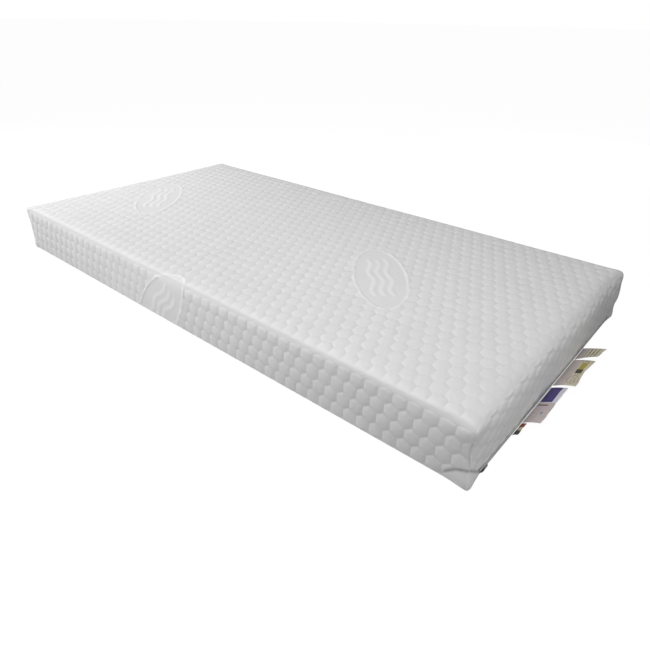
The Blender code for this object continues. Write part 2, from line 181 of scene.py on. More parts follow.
# The looks
KNIT_COLOUR = (0.715, 0.715, 0.715)
# Painted sheen: a brighter colour on the ovals' rims and wave lines
OVAL_SHEEN_COLOUR = (0.742, 0.742, 0.742)
# Painted shade in the knit's creases: where the darkening starts, how dark it is, and its share on top
CREASE_START = 0.91
CREASE_SHADE = 0.90
CREASE_ON_TOP = 0.10
COURSE_DEPTH = 0.00006
PATTERN_REPEATS = 1000
BANDS_PER_SCALE = 3.1
# Painted shade: how dark the corner fold's crease is drawn, and the share of it painted along the top edges
FOLD_SHADE = 0.50
RIM_SHADE = 0.34
END_SHARE = 0.75
STUDIO_SIZE = 45.0
CAMERA_PLACE = (1.3038, -1.3105, 0.8869)
CAMERA_RIGHT = (0.7644, 0.6445, 0.0161)
CAMERA_UP = (-0.3230, 0.3613, 0.8747)
CAMERA_SHIFT = (-0.0175, -0.0246)
WORLD_LIGHT = 0.14
LIGHTS = (
    ("head_high", (-1.56, 0.0, 1.61), 14.5, 0.8),
    ("head_left", (-1.46, -0.53, 1.61), 6.4, 0.8),
    ("head_low", (-3.27, -1.19, 0.55), 57, 1.0),
    ("front_low", (-0.38, -2.15, 0.33), 15.4, 0.6),
    ("front_right", (0.95, -1.65, 1.15), 6.2, 0.8),
    ("overhead", (0.87, -0.32, 2.04), 19.0, 0.9),
    ("foot_low", (2.12, -0.48, 0.33), 5.8, 0.6),
    ("back_low", (0.60, 3.43, 0.55), 14, 1.0),
)


def smoothstep(low, high, value):
    """0 below low, 1 above high, and smooth between."""
    t = np.clip((value - low) / (high - low), 0, 1)
    return t * t * (3 - 2 * t)


# ---------------------------------------------------------------- the knit's relief

def hexagon_height(p, q):
    """0 in the knitted-in creases and 1 on top of the pillows, for cloth coordinates p and q."""
    stretch = math.sqrt(0.75) * HEX_PITCH / HEX_ROW
    p, q = p - HEX_OFFSET_P, q - HEX_OFFSET_Q
    best = np.full(p.shape, 1e9)
    near_p, near_q = np.zeros_like(p), np.zeros_like(q)
    for shift in (0.0, 0.5):
        dp = p - HEX_PITCH * (np.round(p / HEX_PITCH - shift) + shift)
        dq = (q - 2 * HEX_ROW * (np.round(q / (2 * HEX_ROW) - shift) + shift)) * stretch
        distance = dp * dp + dq * dq
        closer = distance < best
        best = np.where(closer, distance, best)
        near_p, near_q = np.where(closer, dp, near_p), np.where(closer, dq, near_q)
    reach = np.abs(near_p)
    for angle in (60, 120):
        a = math.radians(angle)
        reach = np.maximum(reach, np.abs(near_p * math.cos(a) + near_q * math.sin(a)))
    return 1 - np.minimum(1, 2 * reach / HEX_PITCH) ** DOME_POWER


def oval_fields(p, q):
    """For cloth coordinates: inside the nearest oval 0..1, its raised rim 0..1, and the motif 0..1."""
    inside, rim, motif = np.zeros_like(p), np.zeros_like(p), np.zeros_like(p)
    for (centre_p, centre_q), tilt in ((OVAL_FALLING, -OVAL_TILT), (OVAL_RISING, OVAL_TILT)):
        repeat = np.round((p - centre_p) / OVAL_PITCH)
        dp = p - centre_p - OVAL_PITCH * np.where(repeat > 0, 0, repeat)
        dq = q - centre_q - OVAL_ROWS * np.round((q - centre_q) / OVAL_ROWS)
        u = dp * math.cos(tilt) + dq * math.sin(tilt)
        v = -dp * math.sin(tilt) + dq * math.cos(tilt)
        e = np.sqrt((u / OVAL_LONG) ** 2 + (v / OVAL_SHORT) ** 2) + 1e-9
        slope = np.sqrt((u / OVAL_LONG ** 2) ** 2 + (v / OVAL_SHORT ** 2) ** 2) / e + 1e-9
        distance = (e - 1) / slope
        inside = np.maximum(inside, smoothstep(0.002, -0.004, distance))
        rim = np.maximum(rim, np.exp(-(distance / OVAL_RIM) ** 2))
        window = smoothstep(0.66, 0.58, np.abs(u) / OVAL_LONG)
        for row in (-1, 0, 1):
            wave = v - row * WAVE_GAP * OVAL_SHORT - WAVE_HEIGHT * np.sin(2 * math.pi * u / WAVE_LENGTH)
            motif = np.maximum(motif, smoothstep(WAVE_OUTER, WAVE_INNER, np.abs(wave)) * window)
    return inside, rim, motif


def cloth_relief(p, q, side):
    """Height of the cloth over its own middle surface; side is 0 on top and 1 on the walls."""
    inside, rim, motif = oval_fields(p, q)
    depth = RELIEF_TOP + (RELIEF_SIDE - RELIEF_TOP) * side
    pillows = depth * (hexagon_height(p, q - HEX_SLIP * side) - DOME_MEAN)
    plain = depth * 0.10 + WAVE_RELIEF * motif
    raised = RIM_RELIEF_TOP + (RIM_RELIEF_SIDE - RIM_RELIEF_TOP) * side
    return pillows * (1 - inside) + plain * inside + raised * rim


# ---------------------------------------------------------------- meshes

def box_grid(counts):
    """Corner indices and quads of the surface of a grid box; sides are 0..5 for -X +X -Y +Y -Z +Z."""
    quads, sides = [], []
    for axis in range(3):
        a, b = [(1, 2), (2, 0), (0, 1)][axis]
        i, j = np.meshgrid(np.arange(counts[a]), np.arange(counts[b]), indexing="ij")
        for end in (0, 1):
            corners = []
            for di, dj in ((0, 0), (1, 0), (1, 1), (0, 1)):
                index = np.zeros((i.size, 3), int)
                index[:, a], index[:, b] = (i + di).ravel(), (j + dj).ravel()
                index[:, axis] = counts[axis] * end
                corners.append(index)
            if end == 0:
                corners = corners[::-1]
            quads.append(np.stack(corners, 1))
            sides.append(np.full(i.size, 2 * axis + end))
    return np.concatenate(quads), np.concatenate(sides)


def box_surface(lines):
    """Points, quads and their sides, for the surface of a sharp box gridded along three lists of lines."""
    counts = [len(line) - 1 for line in lines]
    corners, sides = box_grid(counts)
    flat = corners.reshape(-1, 3)
    keys = (flat[:, 0] * (counts[1] + 1) + flat[:, 1]) * (counts[2] + 1) + flat[:, 2]
    _, first, inverse = np.unique(keys, return_index=True, return_inverse=True)
    index = flat[first]
    sharp = np.stack([lines[axis][index[:, axis]] for axis in range(3)], 1)
    return sharp, inverse.reshape(-1, 4), sides


def rounded(points, low, high, across, top, bottom):
    """Bends the edges of a sharp box round; across is the radius seen from above."""
    low, high = np.asarray(low, float), np.asarray(high, float)
    ones = np.ones(len(points))
    core = np.clip(points, low + np.stack([ones * across, ones * across, ones * bottom], 1),
                   high - np.stack([ones * across, ones * across, ones * top], 1))
    offset = points - core
    radii = np.stack([ones * across, ones * across, np.where(offset[:, 2] > 0, top, bottom)], 1)
    unit = offset / radii
    length = np.linalg.norm(unit, axis=1, keepdims=True)
    largest = np.abs(unit).max(axis=1, keepdims=True)
    unit = np.where(length > 0, unit * largest / np.maximum(length, 1e-12), unit)
    return core + unit * radii


def mesh_object(name, points, faces, finishes=(), smooth=True):
    """A mesh object from arrays of points and faces."""
    mesh = bpy.data.meshes.new(name)
    mesh.from_pydata(np.asarray(points).tolist(), [], [list(map(int, f)) for f in faces])
    if smooth:
        mesh.shade_smooth()
    for finish in finishes:
        mesh.materials.append(finish)
    return add_object(name, mesh)


def add_object(name, data):
    """A new object for the data, in the scene."""
    made = bpy.data.objects.new(name, data)
    bpy.context.scene.collection.objects.link(made)
    return made


def read_points(mesh):
    """The mesh's points as an array."""
    points = np.empty(len(mesh.vertices) * 3, np.float32)
    mesh.vertices.foreach_get("co", points)
    return points.reshape(-1, 3).astype(float)


def read_normals(mesh):
    """The normals at the mesh's points as an array."""
    normals = np.empty(len(mesh.vertices) * 3, np.float32)
    mesh.vertex_normals.foreach_get("vector", normals)
    return normals.reshape(-1, 3).astype(float)


def write_points(mesh, points):
    """Moves the mesh's points."""
    mesh.vertices.foreach_set("co", points.astype(np.float32).ravel())
    mesh.update()


def evaluated_mesh(obj):
    """The mesh of an object with its modifiers, as a new mesh."""
    graph = bpy.context.evaluated_depsgraph_get()
    return bpy.data.meshes.new_from_object(obj.evaluated_get(graph), depsgraph=graph)


def apply_modifiers(obj):
    """Puts the evaluated mesh in place of the object's own."""
    mesh = evaluated_mesh(obj)
    obj.modifiers.clear()
    obj.data = mesh
    return obj


def refinish(obj, finish):
    """Puts one material in place of the object's own."""
    obj.data.materials.clear()
    obj.data.materials.append(finish)


def break_edges(obj, width, angle, harden):
    """Bevels the edges that are sharper than an angle."""
    bevel = obj.modifiers.new("edge", "BEVEL")
    bevel.width = width
    bevel.segments = 3
    bevel.limit_method = "ANGLE"
    bevel.angle_limit = angle
    bevel.harden_normals = harden


def thicken(obj, thickness, offset):
    """Gives a cloth its thickness: inwards at an offset of -1, and both ways at 0."""
    thick = obj.modifiers.new("thick", "SOLIDIFY")
    thick.thickness = thickness
    thick.offset = offset
    apply_modifiers(obj)


def swept(name, loops, finish):
    """A closed body through a list of point loops of the same length, capped at both ends."""
    loops = np.asarray(loops)
    return mesh_object(name, loops.reshape(-1, 3), tube_faces(*loops.shape[:2]), [finish])


def tube_faces(rings, count):
    """The quads between rings of points, and a cap on the first and the last ring."""
    faces = [[r * count + c, r * count + (c + 1) % count, (r + 1) * count + (c + 1) % count,
              (r + 1) * count + c] for r in range(rings - 1) for c in range(count)]
    return faces + [list(range(count))[::-1], list(range((rings - 1) * count, rings * count))]


def circle(count):
    """Even angles round a circle."""
    return [2 * math.pi * step / count for step in range(count)]


def repeated(name, points, faces, places, finish):
    """One object made of a small mesh set down at many places; each place is a matrix."""
    points = np.asarray(points, float)
    every, all_faces = [], []
    for number, place in enumerate(places):
        turn = np.array(place, float)
        every.append(points @ turn[:3, :3].T + turn[:3, 3])
        start = number * len(points)
        all_faces += [[corner + start for corner in face] for face in faces]
    return mesh_object(name, np.concatenate(every), all_faces, [finish])


# ---------------------------------------------------------------- the cover's cloth

def grid_lines():
    """The cloth grid's lines along X, Y and Z; the slot for the zip lies on lines."""
    edges = np.array(EDGE_LINES)
    xs = np.linspace(edges[-1] - HALF_X, HALF_X - edges[-1], CELLS_X + 1)[1:-1]
    xs = np.concatenate([edges - HALF_X, xs, HALF_X - edges[::-1]])
    inner = np.linspace(-SLOT_HALF, SLOT_HALF, 2 * CELLS_SLOT + 1)
    beside = np.linspace(SLOT_HALF, HALF_Y - edges[-1], CELLS_BESIDE + 1)[1:-1]
    beside = np.concatenate([beside, HALF_Y - edges[::-1]])
    ys = np.concatenate([-beside[::-1], inner, beside])
    wall = np.linspace(SLOT_TOP, HEIGHT - edges[-1], CELLS_WALL + 1)[:-1]
    zs = np.concatenate([[0, 0.002, 0.008], wall, HEIGHT - edges[::-1]])
    return xs, ys, zs


def unrolled(value, half):
    """Cloth length from the middle to a place on a flat face, round the start of its edge."""
    over = np.clip(np.abs(value) - (half - ROUND), 0, None)
    return np.sign(value) * (np.minimum(np.abs(value), half - ROUND) + ROUND * np.arctan(over / ROUND))


def cloth_coordinates(points, side):
    """The place on the uncut cloth of points on one side of the sharp box."""
    x, y, z = points[:, 0], points[:, 1], points[:, 2]
    over = np.clip(z - (HEIGHT - ROUND_TOP), 0, None)
    down = ARC - ROUND * np.arctan(over / ROUND_TOP)
    down = down + np.clip(HEIGHT - ROUND_TOP - z, 0, None)
    p, q = unrolled(x, HALF_X), unrolled(y, HALF_Y)
    if side in (0, 1):
        p = (2 * side - 1) * (HALF_X - ROUND + ARC + down)
    if side in (2, 3):
        q = (2 * side - 5) * (HALF_Y - ROUND + ARC + down)
    return np.stack([p, q], 1)


def puff(obj, held):
    """Lets the cloth swell a little under pressure; held is 1 where it stays put."""
    group = obj.vertex_groups.new(name="held")
    for level in np.unique(held):
        if level > 0:
            group.add(np.nonzero(held == level)[0].tolist(), float(level), "REPLACE")
    cloth = obj.modifiers.new("cloth", "CLOTH")
    settings = cloth.settings
    settings.quality = 5
    settings.mass = 0.25
    settings.tension_stiffness = 12
    settings.compression_stiffness = 12
    settings.shear_stiffness = 4
    settings.bending_stiffness = 1.2
    settings.use_pressure = True
    settings.uniform_pressure_force = CLOTH_PRESSURE
    settings.effector_weights.gravity = 0
    settings.vertex_group_mass = "held"
    cloth.collision_settings.use_collision = False
    cloth.point_cache.frame_start = 1
    cloth.point_cache.frame_end = CLOTH_FRAMES
    scene = bpy.context.scene
    before = read_points(obj.data)
    for number in range(1, CLOTH_FRAMES + 1):
        scene.frame_set(number)
    swollen = evaluated_mesh(obj)
    move = read_points(swollen) - before
    bpy.data.meshes.remove(swollen)
    obj.modifiers.remove(cloth)
    scene.frame_set(1)
    size = np.linalg.norm(move, axis=1, keepdims=True)
    print("cloth moved up to", round(float(size.max()) * 1000, 2), "mm, mean",
          round(float(size.mean()) * 1000, 2))
    move *= CLOTH_CAP * np.tanh(size / CLOTH_CAP) / np.maximum(size, 1e-9)
    write_points(obj.data, before + move)


def soft_shape(sharp):
    """Slow unevenness of the soft block, as moves of the points of the sharp box."""
    x, y, z = sharp[:, 0], sharp[:, 1], sharp[:, 2]
    move = np.zeros_like(sharp)
    slow = np.sin(3.1 * x + 1.3) * np.sin(5.3 * y + 0.4) + 0.6 * np.sin(7.7 * x - 2.1 * y)
    move[:, 2] += TOP_WAVE * slow * smoothstep(HEIGHT - 0.03, HEIGHT, z)
    wall = smoothstep(0.0, WALL_EDGE, z) * smoothstep(HEIGHT, HEIGHT - WALL_EDGE, z)
    flank = np.where(np.abs(y) > HALF_Y - WALL_SKIN, np.sign(y), 0)
    end = np.where(np.abs(x) > HALF_X - WALL_SKIN, np.sign(x), 0)
    long_wave, short_wave = FLANK_WAVES
    move[:, 1] += flank * wall * (long_wave * np.sin(6.1 * x + 0.7) + short_wave * np.sin(13.0 * x + 2.0))
    long_wave, short_wave = END_WAVES
    move[:, 0] += end * wall * (long_wave * np.sin(7.0 * y + 0.3) + short_wave * np.sin(15.0 * y))
    return move + corner_shape(x, y, z)


def corner_shape(x, y, z):
    """The swollen far foot corner, and the ears that the pulled cloth makes at the corners."""
    far = np.exp(-(((x - HALF_X) / SWELL_REACH) ** 2 + ((y - HALF_Y) / SWELL_REACH) ** 2))
    swell = CORNER_SWELL * far * np.sin(np.pi * np.clip(z / HEIGHT, 0, 1)) ** 1.2
    swell = swell * smoothstep(0.015, 0.080, z)
    near = np.exp(-((HALF_X - np.abs(x)) ** 2 + (HALF_Y - np.abs(y)) ** 2) / EAR_REACH ** 2)
    near = near * np.where(x > 0, 1, 0.5)
    ear = smoothstep(HEIGHT - 0.045, HEIGHT - 0.015, z) + 1.2 * smoothstep(0.050, 0.015, z)
    ear = ear - 0.9 * np.exp(-((z - 0.100) / 0.030) ** 2) * (x > 0) * (y < 0)
    ear = CORNER_EAR * near * ear
    move_x = swell * smoothstep(HALF_X - 0.03, HALF_X, x) + ear * np.sign(x)
    move_y = swell * smoothstep(HALF_Y - 0.03, HALF_Y, y) + ear * np.sign(y)
    return np.stack([move_x, move_y, np.zeros_like(z)], 1)


def cover_cloth():
    """The cover's coarse cloth, rounded and swollen, without its underside and the zip's slot."""
    sharp, quads, sides = box_surface(grid_lines())
    low, high = (-HALF_X, -HALF_Y, 0), (HALF_X, HALF_Y, HEIGHT)
    foot = smoothstep(HALF_X - 0.15, HALF_X - 0.02, sharp[:, 0]) * smoothstep(0.06, 0.12, sharp[:, 2])
    inner = smoothstep(HALF_Y, HALF_Y - 0.12, np.abs(sharp[:, 1]))
    across = ROUND + (FOOT_ROUND - ROUND) * foot * inner
    top = ROUND_TOP + (FOOT_ROUND_TOP - ROUND_TOP) * foot * (0.4 + 0.6 * inner)
    cloth = mesh_object("cover_cloth", rounded(sharp, low, high, across, top, ROUND_BOTTOM), quads)
    mesh = cloth.data
    loop_uv = np.zeros((len(quads), 4, 2))
    for side in range(6):
        chosen = sides == side
        loop_uv[chosen] = cloth_coordinates(sharp[quads[chosen].ravel()], side).reshape(-1, 4, 2)
    mesh.uv_layers.new(name="cloth").data.foreach_set("uv", loop_uv.astype(np.float32).ravel())
    puff(cloth, held_shares(sharp))
    write_points(mesh, read_points(mesh) + soft_shape(sharp))
    cut_openings(mesh, sharp[quads], sides)
    return cloth


def held_shares(sharp):
    """How firmly each point stays put while the cloth swells, 0..1 in fifths: its lower edge and slot."""
    held = smoothstep(0.030, 0.004, sharp[:, 2])
    beside_slot = np.maximum(held, smoothstep(0.060, SLOT_TOP, sharp[:, 2]))
    held = np.where(sharp[:, 0] > HALF_X - 0.03, beside_slot, held)
    return np.round(held * 5) / 5


def cut_openings(mesh, cell, sides):
    """Deletes the cloth's underside and the zip's slot; cell is each face's four sharp corners."""
    inset = np.minimum(HALF_X - np.abs(cell[:, :, 0]), HALF_Y - np.abs(cell[:, :, 1])).min(axis=1)
    in_slot = ((cell[:, :, 0].min(axis=1) > HALF_X - 0.03)
               & (np.abs(cell[:, :, 1]).max(axis=1) < SLOT_HALF + 1e-4)
               & (cell[:, :, 2].max(axis=1) < SLOT_TOP + 1e-4))
    under = (sides == 4) & (inset > EDGE_LINES[-1] - 0.0005)
    builder = bmesh.new()
    builder.from_mesh(mesh)
    builder.faces.ensure_lookup_table()
    doomed = [builder.faces[i] for i in np.nonzero(under | in_slot)[0]]
    bmesh.ops.delete(builder, geom=doomed, context="FACES")
    builder.to_mesh(mesh)
    builder.free()


def cloth_places(mesh):
    """Each point's place on the uncut cloth, and how far apart its faces put that place."""
    count = len(mesh.vertices)
    loops = np.empty(len(mesh.loops), np.int32)
    mesh.loops.foreach_get("vertex_index", loops)
    uv = np.empty(len(mesh.loops) * 2, np.float32)
    mesh.uv_layers["cloth"].data.foreach_get("uv", uv)
    uv = uv.reshape(-1, 2).astype(float)
    share = np.bincount(loops, minlength=count)
    p = np.bincount(loops, uv[:, 0], count) / share
    q = np.bincount(loops, uv[:, 1], count) / share
    spread = np.zeros(count)
    np.maximum.at(spread, loops, np.abs(uv[:, 0] - p[loops]) + np.abs(uv[:, 1] - q[loops]))
    return p, q, spread


def wall_shares(points, normals):
    """Each point's share of the walls' pattern, 0..1, and how much of any pattern shows there."""
    below_top = np.clip(HEIGHT - points[:, 2], 0, None)
    inward = np.minimum(HALF_X - np.abs(points[:, 0]), HALF_Y - np.abs(points[:, 1]))
    slip = smoothstep(SLIP_START, SLIP_END, below_top)
    side = slip * (1 - (1 - END_SHARE) * smoothstep(0.6, 0.95, normals[:, 0]))
    edge = 1 - EDGE_FADE * smoothstep(0.022, 0.006, below_top + np.clip(inward, 0, None))
    corner = np.hypot(HALF_X - np.abs(points[:, 0]), HALF_Y - np.abs(points[:, 1]))
    seam = np.where(normals[:, 2] > 0.7, 1, smoothstep(0.004, 0.022, corner))
    under = smoothstep(-0.95, -0.3, normals[:, 2])
    return side, seam * under * edge * (1 - 4 * slip * (1 - slip))


def raise_pattern(mesh):
    """Moves each point along its normal by the knit's relief, and keeps what the material needs, with the
    painted shade of the corner fold's crease and of the top edges.
    """
    p, q, spread = cloth_places(mesh)
    points, normals = read_points(mesh), read_normals(mesh)
    side, left = wall_shares(points, normals)
    floor = smoothstep(0.0005, 0.012, points[:, 2])
    crease, below = corner_fold(points)
    shown = np.where(spread > SPREAD_LIMIT, 0, 1) * left * floor * (1 - below)
    height = cloth_relief(p, q, side) * shown
    height += FOLD_SWELL * below * floor - FOLD_DEPTH * crease
    height -= SEAM_VALLEY * seam_line(points) * (normals[:, 2] < 0.6)
    write_points(mesh, points + normals * height[:, None])
    inside, rim, motif = oval_fields(p, q)
    # Painted shade: the fold attribute carries the darkened corner-fold crease and a darkening along the
    # rounded top edges
    bend = np.clip(4 * normals[:, 2] ** 2 * (1 - normals[:, 2] ** 2), 0, 1) * (normals[:, 2] > 0)
    crease = np.maximum(crease, RIM_SHADE * bend ** 2 * (1 - smoothstep(0.2, 0.6, normals[:, 0])))
    # The yarn attribute marks where the painted sheen goes, and lowers the roughness there
    kept = {"fold": crease, "yarn": np.maximum(rim, 0.8 * motif), "side": side,
            "pattern": shown * (1 - inside)}
    for name, values in kept.items():
        mesh.attributes.new(name, "FLOAT", "POINT").data.foreach_set("value", values.astype(np.float32))


def corner_fold(points):
    """The pulled fold round the near foot corner: its crease 0..1, and 1 on the plain cloth below it."""
    aside = HALF_Y - np.abs(points[:, 1])
    along = np.where(HALF_X - points[:, 0] > aside, points[:, 0] - HALF_X, aside)
    falling = FOLD_HEIGHT - (FOLD_HEIGHT - LIP_HIGH.z) * smoothstep(0, FOLD_SHORT, along)
    line = np.where(along < 0, FOLD_HEIGHT * (1 - (along / FOLD_LONG) ** 2), falling)
    near = smoothstep(-FOLD_LONG, -0.7 * FOLD_LONG, along) * smoothstep(FOLD_SHORT * 1.3, FOLD_SHORT, along)
    near = near * (points[:, 0] > 0) * (points[:, 1] < 0)
    crease = np.exp(-((points[:, 2] - line) / FOLD_WIDTH) ** 2) * near
    below = smoothstep(0.002, -0.004, points[:, 2] - line) * near
    return crease, below


def seam_line(points):
    """1 along the vertical line down each corner of the cover, and 0 away from it."""
    across = np.abs(points[:, 0]) - HALF_X - (np.abs(points[:, 1]) - HALF_Y)
    near = np.hypot(HALF_X - np.abs(points[:, 0]), HALF_Y - np.abs(points[:, 1]))
    return np.exp(-(across / 0.0045) ** 2) * smoothstep(0.02, 0.012, near)


def close_with_lining(outer, lining):
    """Joins the fine knit to a coarse skin behind it, edge to edge, so that it is a closed shell."""
    builder = bmesh.new()
    builder.from_mesh(outer)
    start = len(builder.verts)
    builder.from_mesh(lining)
    builder.verts.ensure_lookup_table()
    chain = {}
    for edge in builder.edges:
        if edge.is_boundary and edge.verts[0].index < start:
            for here, there in (edge.verts, reversed(edge.verts)):
                chain.setdefault(here.index, []).append(there)
    coarse = [edge for edge in builder.edges if edge.is_boundary and edge.verts[0].index >= start]
    for face in [f for f in builder.faces if f.verts[0].index >= start]:
        face.normal_flip()
    for edge in coarse:
        first, last = (vert.index - start for vert in edge.verts)
        for step in chain[first]:
            walk = [builder.verts[first], step]
            while walk[-1].index != last and len(walk) < 2 ** SUBDIVISIONS + 1:
                walk.append(next(v for v in chain[walk[-1].index] if v is not walk[-2]))
            if walk[-1].index == last:
                builder.faces.new(walk + [edge.verts[1], edge.verts[0]])
                break
    bmesh.ops.recalc_face_normals(builder, faces=builder.faces)
    builder.to_mesh(outer)
    builder.free()
    outer.shade_smooth()


def offset_copy(source, name, depth, finish):
    """A copy of a cloth object, moved in along its normals by a depth."""
    made = add_object(name, source.data.copy())
    refinish(made, finish)
    write_points(made.data, read_points(made.data) - read_normals(made.data) * depth)
    return made


def make_cover():
    """The knit cover: subdivided from the coarse cloth, raised by its pattern, and lined."""
    cloth = cover_cloth()
    cover = offset_copy(cloth, "knit_cover", 0, knit_material())
    divide = cover.modifiers.new("divide", "SUBSURF")
    divide.levels = divide.render_levels = SUBDIVISIONS
    divide.boundary_smooth = "PRESERVE_CORNERS"
    divide.uv_smooth = "NONE"
    apply_modifiers(cover)
    raise_pattern(cover.data)
    lining = offset_copy(cloth, "lining", LINING_DEPTH, cover.data.materials[0])
    close_with_lining(cover.data, lining.data)
    bpy.data.objects.remove(lining)
    ride_for(cover, "mattress", "knit", "cover_knit_face")
    make_wadding(cloth)
    bpy.data.objects.remove(cloth)


def make_wadding(cloth):
    """The uneven fibre wadding behind the cover's cloth."""
    wadding = offset_copy(cloth, "fibre_wadding", WADDING_DEPTH, fluff_material())
    points = read_points(wadding.data)
    lumps = WADDING_LUMPS * np.sin(points[:, 0] * 41) * np.sin(points[:, 1] * 37 + points[:, 2] * 29)
    write_points(wadding.data, points + read_normals(wadding.data) * lumps[:, None])
    thicken(wadding, WADDING_THICKNESS, -1)
    ride_for(wadding, "mattress", "wadding", "cover_fibre_wadding")


def ride_for(piece, body, slot, *nodes):
    """Rides a piece on its body and has it stand for its CAD nodes, which it hides; the slot is not used."""
    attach(piece, body)
    if nodes:
        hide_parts(*nodes)


def make_corner_seams():
    """The overlocked seam down each corner: a rope-like ridge in its shallow valley."""
    thread = thread_material("seam_thread", (0.80, 0.80, 0.81))
    for node in [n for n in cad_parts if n.startswith("corner_seam")]:
        low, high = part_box(node)
        sign = Vector((math.copysign(1, low.x), math.copysign(1, low.y), 0))
        out = sign.normalized()
        along = Vector((-out.y, out.x, 0))
        core = Vector((sign.x * (HALF_X - ROUND), sign.y * (HALF_Y - ROUND), 0))
        loops = []
        for z in np.arange(low.z, high.z, SEAM_STEP):
            ends = min(1, (z - low.z + 0.0004) / 0.004, (high.z - z + 0.0004) / 0.004)
            twist = 2 * math.pi * (z - low.z) / SEAM_TWIST
            ring = []
            for angle in circle(SEAM_SIDES):
                radius = SEAM_RADIUS * ends * (1 + 0.28 * math.cos(2 * (angle - twist)))
                place = core + out * (ROUND - SEAM_SINK + radius * math.cos(angle))
                ring.append(place + along * radius * math.sin(angle) + Vector((0, 0, z)))
            loops.append(ring)
        ride_for(swept(node.replace("corner_seam", "overlocked_seam"), loops, thread),
                 "mattress", "seam", node)


# ---------------------------------------------------------------- the core and the base

def soft_copy(node, name, finish, edge):
    """A copy of a CAD foam block with its cut edges broken, and standing for it."""
    made = add_object(name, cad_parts[node].data.copy())
    refinish(made, finish)
    builder = bmesh.new()
    builder.from_mesh(made.data)
    bmesh.ops.remove_doubles(builder, verts=builder.verts, dist=1e-6)
    bmesh.ops.dissolve_limit(builder, angle_limit=math.radians(1), verts=builder.verts,
                             edges=builder.edges)
    builder.to_mesh(made.data)
    builder.free()
    break_edges(made, edge, FOAM_EDGE_ANGLE, False)
    apply_modifiers(made)
    made.data.shade_smooth()
    made.data.set_sharp_from_angle(angle=FOAM_SHARP_ANGLE)
    return made


def make_foams():
    """The foam layers, with slightly soft cut edges."""
    for node, slot, colour, cell, edge, fill in (
            ("foam_memory_layer", "memory_foam", (0.86, 0.82, 0.66), 900, 0.0012, 0.9),
            ("foam_support_core", "support_foam", (0.52, 0.68, 0.80), 650, 0.0018, 1.0),
            ("foam_side_rail_left", "rail_foam", (0.40, 0.48, 0.56), 800, 0.0030, 1.0),
            ("foam_side_rail_right", "rail_foam", (0.40, 0.48, 0.56), 800, 0.0030, 1.0)):
        piece = soft_copy(node, node + "_block", foam_material(slot, colour, cell), edge)
        ride_for(piece, "mattress", slot, node)


def make_sleeve():
    """The thin stockinette sleeve round the foam, open at its head end."""
    lines = [np.linspace(SLEEVE_LOW[axis], SLEEVE_HIGH[axis], cells + 1)
             for axis, cells in ((0, 96), (1, 48), (2, 8))]
    sharp, quads, sides = box_surface(lines)
    points = rounded(sharp, SLEEVE_LOW, SLEEVE_HIGH, SLEEVE_ROUND, SLEEVE_ROUND, SLEEVE_ROUND)
    sleeve = mesh_object("core_stockinette", points, quads[sides != 0],
                         [ribbed_material("sleeve_knit", (0.86, 0.86, 0.85), 900)])
    thicken(sleeve, SLEEVE_THICKNESS, -1)
    ride_for(sleeve, "mattress", "sleeve", "core_sleeve")


def make_base():
    """The woven base panel, drawn a little slack between its sewn edges."""
    xs = np.linspace(BASE_LOW.x, HALF_X - RIM - 0.0003, 101)
    xs = np.append(xs, BASE_HIGH.x)
    ys = np.linspace(BASE_LOW.y, BASE_HIGH.y, 51)
    x, y = np.meshgrid(xs, ys, indexing="ij")
    flat = np.stack([x.ravel(), y.ravel(), np.zeros(x.size)], 1)
    low, high = (BASE_LOW.x, BASE_LOW.y, -0.1), (xs[-2], BASE_HIGH.y, 0.1)
    bent = rounded(flat, low, high, BASE_CORNER, 0.05, 0.05)
    points = np.where(flat[:, :1] > xs[-2] - 1e-6, flat, bent)
    points[:, 2] = BASE_MIDDLE + BASE_SLACK * np.sin(9 * points[:, 0] + 4) * np.sin(13 * points[:, 1])
    i, j = np.meshgrid(np.arange(len(xs) - 1), np.arange(len(ys) - 1), indexing="ij")
    i, j = i.ravel(), j.ravel()
    keep = (i < len(xs) - 2) | ((np.abs(ys[j]) < SLOT_HALF) & (np.abs(ys[j + 1]) < SLOT_HALF))
    i, j, rows = i[keep], j[keep], len(ys)
    quads = np.stack([i * rows + j, (i + 1) * rows + j, (i + 1) * rows + j + 1, i * rows + j + 1], 1)
    base = mesh_object("woven_base", points, quads, [woven_material("base_weave", (0.36, 0.37, 0.39), 420)])
    builder = bmesh.new()
    builder.from_mesh(base.data)
    loose = [vert for vert in builder.verts if not vert.link_faces]
    bmesh.ops.delete(builder, geom=loose, context="VERTS")
    builder.to_mesh(base.data)
    builder.free()
    thicken(base, BASE_THICKNESS, 0)
    ride_for(base, "mattress", "base", "cover_base_panel")


# ---------------------------------------------------------------- the zip

def lip_drift(y):
    """How far the hem wanders up at a place along it."""
    return 0.0005 * math.sin(23 * y + 1) + 0.0003 * math.sin(61 * y)


def make_lip():
    """The rolled hem over the zip, puckered by its line of stitches."""
    low, high = LIP_LOW, LIP_HIGH
    middle_z, half_z = (low.z + high.z) / 2, (high.z - low.z) / 2
    reach = (high.x - low.x) / 2 - LIP_SLIM
    loops = []
    for y in np.arange(low.y, high.y, LIP_STEP):
        ends = min(1, (y - low.y + 0.0006) / 0.006, (high.y - y + 0.0006) / 0.006)
        drift = lip_drift(y)
        pucker = LIP_PUCKER * math.cos(2 * math.pi * y / STITCH_PITCH)
        ring = []
        for angle in circle(LIP_SIDES):
            c, s = math.cos(angle), math.sin(angle)
            x = low.x + reach + reach * math.copysign(abs(c) ** 0.75, c) * ends
            z = middle_z + half_z * math.copysign(abs(s) ** 0.8, s) * ends + drift
            x += pucker * max(0, c) + 0.6 * drift
            ring.append((x, y, z))
        loops.append(ring)
    lip = swept("rolled_guard_lip", loops, knit_trim_material())
    ride_for(lip, "mattress", "lip", "zip_guard_lip")


